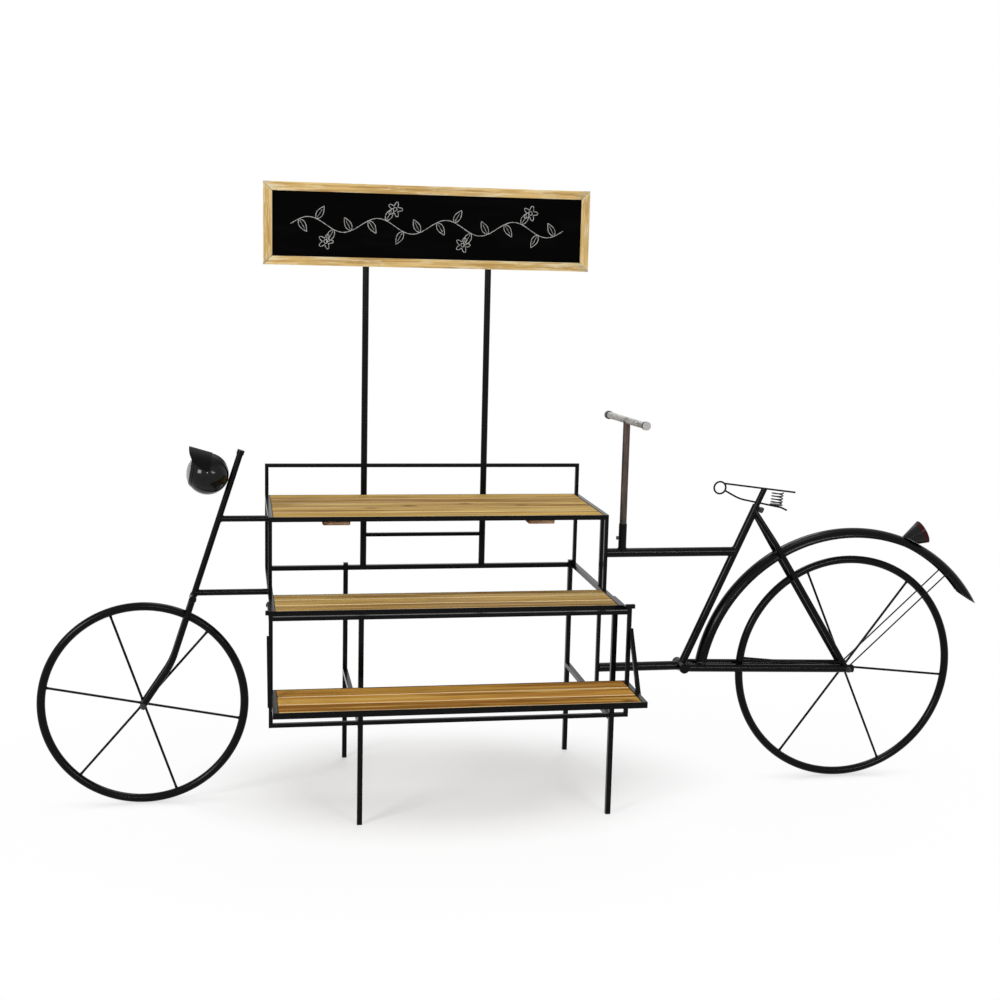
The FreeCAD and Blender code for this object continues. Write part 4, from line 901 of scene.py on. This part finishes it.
# %% [markdown]
# Rims
#
# Each wheel is a steel tube bent to a ring and welded shut. The solid's own ring is made of flat facets,
# which show as steps in the thin highlight that runs round it. A circle carried round a circle in fine
# steps is smooth, and a low ridge at the top marks the weld.

# %% Bend the rims
RIM_WELD = 2.2 * MM
RIM_WELD_SHARE = 0.008
AXLE = (0, 1, 0)


def rim(name, node, body, sides=24, steps=220):
    """A circle of radius R round the middle of the solid's box, and a tube of radius r along it."""
    low, high = corners(node)
    small = (high[1] - low[1]) / 2
    large = (high[0] - low[0]) / 2 - small
    turn = around(steps)
    path = (low + high) / 2 + large * np.stack((np.sin(turn), 0 * turn, np.cos(turn)), axis=1)
    ridge = np.exp(-(np.minimum(turn, 2 * np.pi - turn) * large / RIM_WELD) ** 2)
    radius = small * (1 - RIM_WELD_SHARE + RIM_WELD_SHARE * ridge)
    piece = Piece(name)
    piece.add(tube(path, radius, AXLE, sides, closed=True), wrap=True)
    piece.make(satin, "frame_paint", body, [node])


rim("front_rim_tube", "front_rim", "front_wheel")
rim("rear_rim_tube", "rear_rim", "rear_wheel")

# %% [markdown]
# Hubs and spokes
#
# Each wheel turns on a short hub, bored for its axle, with six spokes of round bar welded between hub and
# rim. A thin cylinder would meet both walls with a hard edge. So each spoke is a tube along a straight
# line, whose radius grows at both ends into a small weld, and the hub is a closed outline carried round the
# axle.

# %% Turn the hubs and set the spokes
SPOKE_COUNT = 6
SPOKE_RADIUS = 3.2 * MM
SPOKE_FLARE = 3 * MM
SPOKE_SINK = 1.2 * MM
SPOKE_ENDS = np.array([0, 1, 2.5, 4.5, 7.5, 12]) * MM
HUB_RADIUS, HUB_BORE, HUB_EASE = 9 * MM, 4.05 * MM, 1 * MM
FRONT_FIRST, REAR_FIRST = 49, 54


def hub(piece, centre, half, steps=36):
    """Outline points (r, y) carried round the axle: centre + r (cos t, 0, sin t) + y, from bore to barrel."""
    eased = HUB_RADIUS - HUB_EASE
    radius = np.array([HUB_BORE, eased, HUB_RADIUS, HUB_RADIUS, eased, HUB_BORE])
    along = np.array([-half, -half, HUB_EASE - half, half - HUB_EASE, half, half])
    turn = around(steps)[:, None]
    rings = np.stack((radius * np.cos(turn), along + 0 * turn, radius * np.sin(turn)), axis=-1)
    piece.add(centre + rings, wrap=True)


def spoke(piece, centre, lean, reach):
    """A line from hub to rim with radius r (1 + exp(-d / f) / 2), d being the way to the nearer end."""
    outward = np.array([np.sin(lean), 0, np.cos(lean)])
    start = HUB_RADIUS - SPOKE_SINK
    length = reach + SPOKE_SINK - start
    way = np.concatenate((SPOKE_ENDS, length - SPOKE_ENDS[::-1]))
    nearer = np.minimum(way, length - way)
    flare = SPOKE_RADIUS * (1 + 0.5 * np.exp(-nearer / SPOKE_FLARE))
    piece.add(tube(centre + (start + way)[:, None] * outward, flare, AXLE))


def spoked_hub(name, node, rim_node, body, first_angle):
    """A hub in the middle of the rim's box, and spokes at even angles up to the rim's inner wall."""
    rim_low, rim_high = corners(rim_node)
    hub_low, hub_high = corners(node)
    centre = (rim_low + rim_high) / 2
    inner = (rim_high[0] - rim_low[0]) / 2 - (rim_high[1] - rim_low[1])
    piece = Piece(name)
    hub(piece, centre, (hub_high[1] - hub_low[1]) / 2)
    for index in range(SPOKE_COUNT):
        spoke(piece, centre, np.radians(90 - first_angle) + index * 2 * np.pi / SPOKE_COUNT, inner)
    piece.make(satin, "frame_paint", body, [node])


spoked_hub("front_spokes", "front_hub_spokes", "front_rim", "front_wheel", FRONT_FIRST)
spoked_hub("rear_spokes", "rear_hub_spokes", "rear_rim", "rear_wheel", REAR_FIRST)

# %% [markdown]
# Saddle spring
#
# A coil of thick wire stands between the saddle's wires. A helix is one formula, so the wire is a tube
# along it, which climbs a little slower at both ends, as a real spring's closed ends do.

# %% Wind the spring
SPRING_TURNS = 4
SPRING_RADIUS = 15.25 * MM
SPRING_WIRE = 1.75 * MM
SPRING_HEIGHT = 31 * MM
SPRING_EVEN = 0.8
SPRING_X, SPRING_Z, SPRING_FOOT = 1387, 782.09, 8.5
SPRING_TILT = np.radians(5)
TILT_SIN, TILT_COS = np.sin(SPRING_TILT), np.cos(SPRING_TILT)
SPRING_BASE = spot(SPRING_X + TILT_SIN * SPRING_FOOT, BIKE_Y, SPRING_Z + TILT_COS * SPRING_FOOT)


def helix(steps=240):
    """Across by cos and sin of the turn, up by the height times the way, which starts and ends slower."""
    way = np.linspace(0, 1, steps)
    turn = 2 * np.pi * SPRING_TURNS * way
    climb = SPRING_HEIGHT * (SPRING_EVEN * way + (1 - SPRING_EVEN) * way ** 2 * (3 - 2 * way))
    local = np.stack((SPRING_RADIUS * np.cos(turn), SPRING_RADIUS * np.sin(turn), climb), axis=1)
    lean = np.array([[TILT_COS, 0, TILT_SIN], [0, 1, 0], [-TILT_SIN, 0, TILT_COS]])
    return SPRING_BASE + local @ lean.T


spring = Piece("wound_spring")
spring.add(tube(helix(), SPRING_WIRE, (TILT_SIN, 0, TILT_COS)))
spring.make(satin, "frame_paint", "saddle", ["saddle_spring"])

# %% [markdown]
# Seams
#
# The tubes are welded where they meet, and each seam carries a rippled bead. The seam of two round tubes is
# found by sending lines along the first tube's wall until they reach the second one, which is a quadratic
# equation for all lines at once. The bead is then a thin tube along that line, whose width rises and falls.

# %% Find the seam of two tubes
BEAD = 1.7 * MM
RIPPLES = 26
RIPPLE_SHARE = 0.14


def rod(start, end, radius, out=0, end_out=0):
    """A tube between two (x, z) places, each moved out from the bicycle's middle, and its radius."""
    return spot(start[0], BIKE_Y + out, start[1]), spot(end[0], BIKE_Y + end_out, end[1]), radius * MM


def seam(start, toward, radius, axis_point, axis_end, axis_radius, steps=130):
    """The first root t of |w + t d| = R for each line of the wall, w and d taken square to the axis."""
    heading = unit(toward - start)
    axis = unit(axis_end - axis_point)
    side = unit(np.cross(heading, axis))
    turn = around(steps)[:, None]
    wall = start + radius * (np.cos(turn) * side + np.sin(turn) * np.cross(heading, side))
    away = wall - axis_point
    away = away - (away @ axis)[:, None] * axis
    drift = heading - (heading @ axis) * axis
    half = away @ drift
    square = drift @ drift
    inner = np.maximum(half ** 2 - square * (np.sum(away ** 2, axis=1) - axis_radius ** 2), 0)
    return wall + ((-half - np.sqrt(inner)) / square)[:, None] * heading, heading


def bead(piece, run, into):
    """A tube along the seam of one rod with another, its radius times 1 plus a share of the ripples' sine."""
    path, heading = seam(*run, *into)
    ripple = 1 + RIPPLE_SHARE * np.sin(RIPPLES * around(len(path)))
    piece.add(tube(path, BEAD * ripple, heading, sides=8, closed=True), wrap=True)


print("seams ready")

# %% [markdown]
# Welds
#
# On the rear frame the top tube, the handlebar's socket, the lower tube, the seat tube and the stays are
# welded together, and on the fork the crown, the blades and the two tubes to the rack. Each rod is written
# by the places of its ends in the drawing, and each bead by the two rods that meet.

# %% Lay the beads
BRACKET, BRACKET_HALF, BRACKET_RADIUS = (1134, 336), 37, 14
SEAT_TOP, SEAT_RADIUS = (1331, 786), 11
TOP_TUBE_START, TOP_TUBE_END, LOWER_TUBE_START, MAIN_RADIUS = (900, 657), (1300, 657), (900, 336), 12.5
SOCKET_TOP, SOCKET_FOOT, SOCKET_RADIUS = (HANDLE_X, 737), (HANDLE_X, 657), 11
FORK_TOP, FORK_BEND, FORK_RADIUS, FORK_SPREAD = (-70.6, 926), (-247.5, 380), 8, 21
CROWN, CROWN_HALF, CROWN_RADIUS = (-191.5, 553), 29, 9
FRONT_TUBE_END_X, FRONT_TUBE_HEIGHTS = -100, (758.5, 564)
CHAIN_STAY_END, CHAIN_STAY_RADIUS, STAY_SPREAD = (1631, 321), 11, 26
SEAT_STAY_BEND, SEAT_STAY_TOP, SEAT_STAY_RADIUS, SEAT_STAY_TOP_SPREAD = (1384, 680), (1324, 770), 7.5, 7.7

bracket = rod(BRACKET, BRACKET, BRACKET_RADIUS, -BRACKET_HALF, BRACKET_HALF)
crown = rod(CROWN, CROWN, CROWN_RADIUS, -CROWN_HALF, CROWN_HALF)
seat = rod(BRACKET, SEAT_TOP, SEAT_RADIUS)
steerer = rod(FORK_BEND, FORK_TOP, FORK_RADIUS)
top_tube = rod(TOP_TUBE_START, TOP_TUBE_END, MAIN_RADIUS)

welds = Piece("weld_beads")
bead(welds, top_tube, seat)
bead(welds, rod(LOWER_TUBE_START, BRACKET, MAIN_RADIUS), bracket)
bead(welds, rod(SEAT_TOP, BRACKET, SEAT_RADIUS), bracket)
bead(welds, rod(SOCKET_TOP, SOCKET_FOOT, SOCKET_RADIUS), top_tube)
bead(welds, rod(FORK_TOP, CROWN, FORK_RADIUS), crown)
for height in FRONT_TUBE_HEIGHTS:
    bead(welds, rod((0, height), (FRONT_TUBE_END_X, height), FORK_RADIUS), steerer)
for side in (-1, 1):
    stay, stay_top, blade = side * STAY_SPREAD, side * SEAT_STAY_TOP_SPREAD, side * FORK_SPREAD
    bead(welds, rod(CHAIN_STAY_END, BRACKET, CHAIN_STAY_RADIUS, stay, stay), bracket)
    bead(welds, rod(SEAT_STAY_BEND, SEAT_STAY_TOP, SEAT_STAY_RADIUS, stay, stay_top), seat)
    bead(welds, rod(FORK_BEND, CROWN, FORK_RADIUS, blade, blade), crown)
welds.make(satin, "frame_paint")

# %% [markdown]
# Rolled edges
#
# The mudguard's edges are rolled over a wire, which stiffens thin sheet. Two thin arcs stand for it, a
# circle carried along each edge up to where the tail is cut.

# %% Roll the mudguard's edges
GUARD_X, GUARD_Z, GUARD_EDGE_RADIUS, GUARD_HALF_WIDTH = 1616, 273, 424, 22
GUARD_START, GUARD_TAIL = 169.5, 38
EDGE_WIRE = 1.5 * MM
guard_turn = np.radians(np.linspace(GUARD_START, GUARD_TAIL, 90))
edges = Piece("mudguard_edges")
for side in (-1, 1):
    arc = np.stack((GUARD_X + GUARD_EDGE_RADIUS * np.cos(guard_turn),
                    np.full(guard_turn.shape, BIKE_Y + side * GUARD_HALF_WIDTH),
                    GUARD_Z + GUARD_EDGE_RADIUS * np.sin(guard_turn)), axis=1)
    edges.add(tube(drawing_corner + arc * MM, EDGE_WIRE, AXLE, sides=8))
edges.make(satin, "frame_paint")

# %% [markdown]
# Bolts
#
# The strap arms at the ends of the mid shelf are bolted on, with domed heads outside. A head is turned from
# one outline, a short straight flange under a quarter of an ellipse.

# %% Add the bolts
BOLT_RADIUS, BOLT_HEIGHT, BOLT_FLANGE = 5.2 * MM, 3.2 * MM, 0.9 * MM
BOLT_TURNS = np.radians([0, 20, 40, 60, 75, 86])
BOLT_Z = 559.5
BOLT_PLACES_Y = (-85, -165)


def bolt_head(piece, place, outward):
    """Rings of radius R cos(t) at a height of flange plus (h - flange) sin(t), on a straight flange."""
    radius = np.concatenate(([BOLT_RADIUS], BOLT_RADIUS * np.cos(BOLT_TURNS)))
    height = np.concatenate(([0], BOLT_FLANGE + (BOLT_HEIGHT - BOLT_FLANGE) * np.sin(BOLT_TURNS)))
    outward = np.array(outward, float)
    side = unit(np.cross(outward, (0, 1, 0)))
    turn = around(24)[:, None]
    circle = np.cos(turn) * side + np.sin(turn) * np.cross(outward, side)
    piece.add(place + radius[:, None, None] * circle + height[:, None, None] * outward)


bolts = Piece("arm_bolts")
arms_low, arms_high = corners("tier_arms")
for y in BOLT_PLACES_Y:
    for x, outward in ((arms_low[0], (-1, 0, 0)), (arms_high[0], (1, 0, 0))):
        place = spot(0, y, BOLT_Z)
        place[0] = x
        bolt_head(bolts, place, outward)
bolts.make(zinc, "fastener_steel")

# %% [markdown]
# White room
#
# The photograph has a pure white ground. A white world alone would flood the object with light. So rays
# from the camera, and those that mirrors and glass send on, meet plain white, and the light that falls on
# the stand is weaker. Blender's Light Path node tells such rays apart.

# %% Make the white world
AMBIENT = 0.12
WHITE = (1, 1, 1, 1)


def seen_directly(tree):
    """1 for rays from the camera and for mirrored and refracted rays, otherwise 0."""
    camera_ray = tree.node("ShaderNodeLightPath", out="Is Camera Ray")
    mirrored = tree.node("ShaderNodeLightPath", out="Is Glossy Ray")
    refracted = tree.node("ShaderNodeLightPath", out="Is Transmission Ray")
    return camera_ray.most(mirrored).most(refracted)


world = bpy.data.worlds.new("white_room")
world.use_nodes = True
bpy.context.scene.world = world
sky = Tree(world.node_tree)
dim = sky.node("ShaderNodeBackground", None, {"Color": WHITE, "Strength": AMBIENT})
bright = sky.node("ShaderNodeBackground", None, {"Color": WHITE, "Strength": 1})
shown = sky.node("ShaderNodeMixShader", None, {0: seen_directly(sky), 1: dim, 2: bright})
sky.fill(sky.nodes["World Output"].inputs["Surface"], shown)
print("the world lights the stand at", AMBIENT)

# %% [markdown]
# Floor
#
# The rack leaves a soft grey shadow, and the wheels leave faint ones. An oval round each wheel's foot deepens
# these as painted shadow: less white glow is mixed in there, so the grey matt floor shows. The floor is real
# white paint in a shadow and near it, and fades into the white of the world further out. The fade follows the
# distance from the middle of the rack, counted more towards the viewer than to the sides, because the shadow
# is wide and shallow.

# %% Lay the floor
FLOOR_HALF = 30
FLOOR_WHITE = (0.91, 0.91, 0.91, 1)
RACK_MIDDLE_X, RACK_MIDDLE_Y, RACK_STRETCH = 500, 130, 1.7
SHADOW_END, FADE_END, FAR_END = 0.35, 0.85, 2.0
SHADOW_GLOW, FADE_GLOW, FAR_GLOW = 0.35, 0.59, 0.06
HUB_PLACES_X, WHEEL_STRETCH = (-320, 1613), 5
WHEEL_SHADOW, WHEEL_FADE, WHEEL_SHADE = 0.04, 0.28, 0.3

floor_mesh = bpy.data.meshes.new("floor")
floor_corners = np.array([[-1, -1, 0], [1, -1, 0], [1, 1, 0], [-1, 1, 0]]) * FLOOR_HALF
floor_mesh.from_pydata(floor_corners.tolist(), [], [(0, 1, 2, 3)])
floor = bpy.data.objects.new("floor", floor_mesh)
bpy.context.scene.collection.objects.link(floor)
ground = Finish("white_floor")
ground.on(floor)


def distance(x, y, stretch):
    """How far a point of the floor is from a point of the drawing, with y counted more than x."""
    away = ground.node("ShaderNodeVectorMath", {"operation": "SUBTRACT"}, {0: ground.place, 1: spot(x, y, 0)})
    oval = ground.stretched(away, (1, stretch, 1))
    return ground.node("ShaderNodeVectorMath", {"operation": "LENGTH"}, {0: oval}, out="Value")


far = distance(RACK_MIDDLE_X, RACK_MIDDLE_Y, RACK_STRETCH)
glow_share = SHADOW_GLOW + far.rise(SHADOW_END, FADE_END) * FADE_GLOW + far.rise(FADE_END, FAR_END) * FAR_GLOW
# Painted shadow: an oval round each wheel's foot takes away glow, so the grey matt floor shows there as a
# faint shadow.
for hub_x in HUB_PLACES_X:
    clear = distance(hub_x, BIKE_Y, WHEEL_STRETCH).rise(WHEEL_SHADOW, WHEEL_FADE)
    glow_share = glow_share - (1 - clear) * WHEEL_SHADE
matt = ground.node("ShaderNodeBsdfDiffuse", None, {"Color": FLOOR_WHITE})
glow = ground.node("ShaderNodeEmission", None, {"Color": WHITE, "Strength": 1})
paper = ground.node("ShaderNodeMixShader", None, {0: seen_directly(ground) * glow_share, 1: matt, 2: glow})
ground.fill(ground.nodes["Material Output"].inputs["Surface"], paper)
print("the floor is", 2 * FLOOR_HALF, "m wide")

# %% [markdown]
# Lights
#
# Two soft lamps stand left and right of the camera and put the spots on the headlamp. The black tubes are
# drawn by thin bright lines, and a line along a level tube is the mirror image of a long lamp, so two
# narrow strips lie across the front. One broad lamp above lights the shelves, and one behind lights the
# back of the sign.

# %% Hang the lamps


def softbox(name, place, aim, width, height, power):
    """A flat rectangular lamp whose face looks from its place to its aim, with its width level."""
    data = bpy.data.lights.new(name, "AREA")
    data.shape = "RECTANGLE"
    data.size = width
    data.size_y = height
    data.energy = power
    back = unit(np.array(place, float) - np.array(aim, float))
    side = unit(np.cross((0, 0, 1), back))
    placed(bpy.data.objects.new(name, data), (side, np.cross(back, side), back), place)
    print(name, power, "W")


softbox("left_lamp", place=(-3.9, -3.0, 2.2), aim=(-0.2, 0, 0.8), width=1.5, height=1.2, power=132)
softbox("right_lamp", place=(1.2, -3.8, 2.2), aim=(-0.2, 0, 0.8), width=0.9, height=0.8, power=20)
softbox("right_strip", place=(1.9, -4.0, 1.9), aim=(0.5, 0, 0.6), width=1.4, height=0.12, power=45)
softbox("near_strip", place=(-0.85, -4.0, 1.9), aim=(-0.8, 0, 0.6), width=0.5, height=0.12, power=18)
softbox("top_lamp", place=(0.1, 0.2, 4.2), aim=(0, 0, 0.6), width=2.6, height=1.8, power=50)
softbox("back_lamp", place=(0.4, 3.0, 4.2), aim=(0, 0, 0.9), width=2.4, height=1.2, power=75)

# %% [markdown]
# Last steps
#
# Blender's Standard view shows a colour about as it is written, while its other views bend it like film.

# %% Finish the scene
bpy.context.scene.view_settings.view_transform = "Standard"
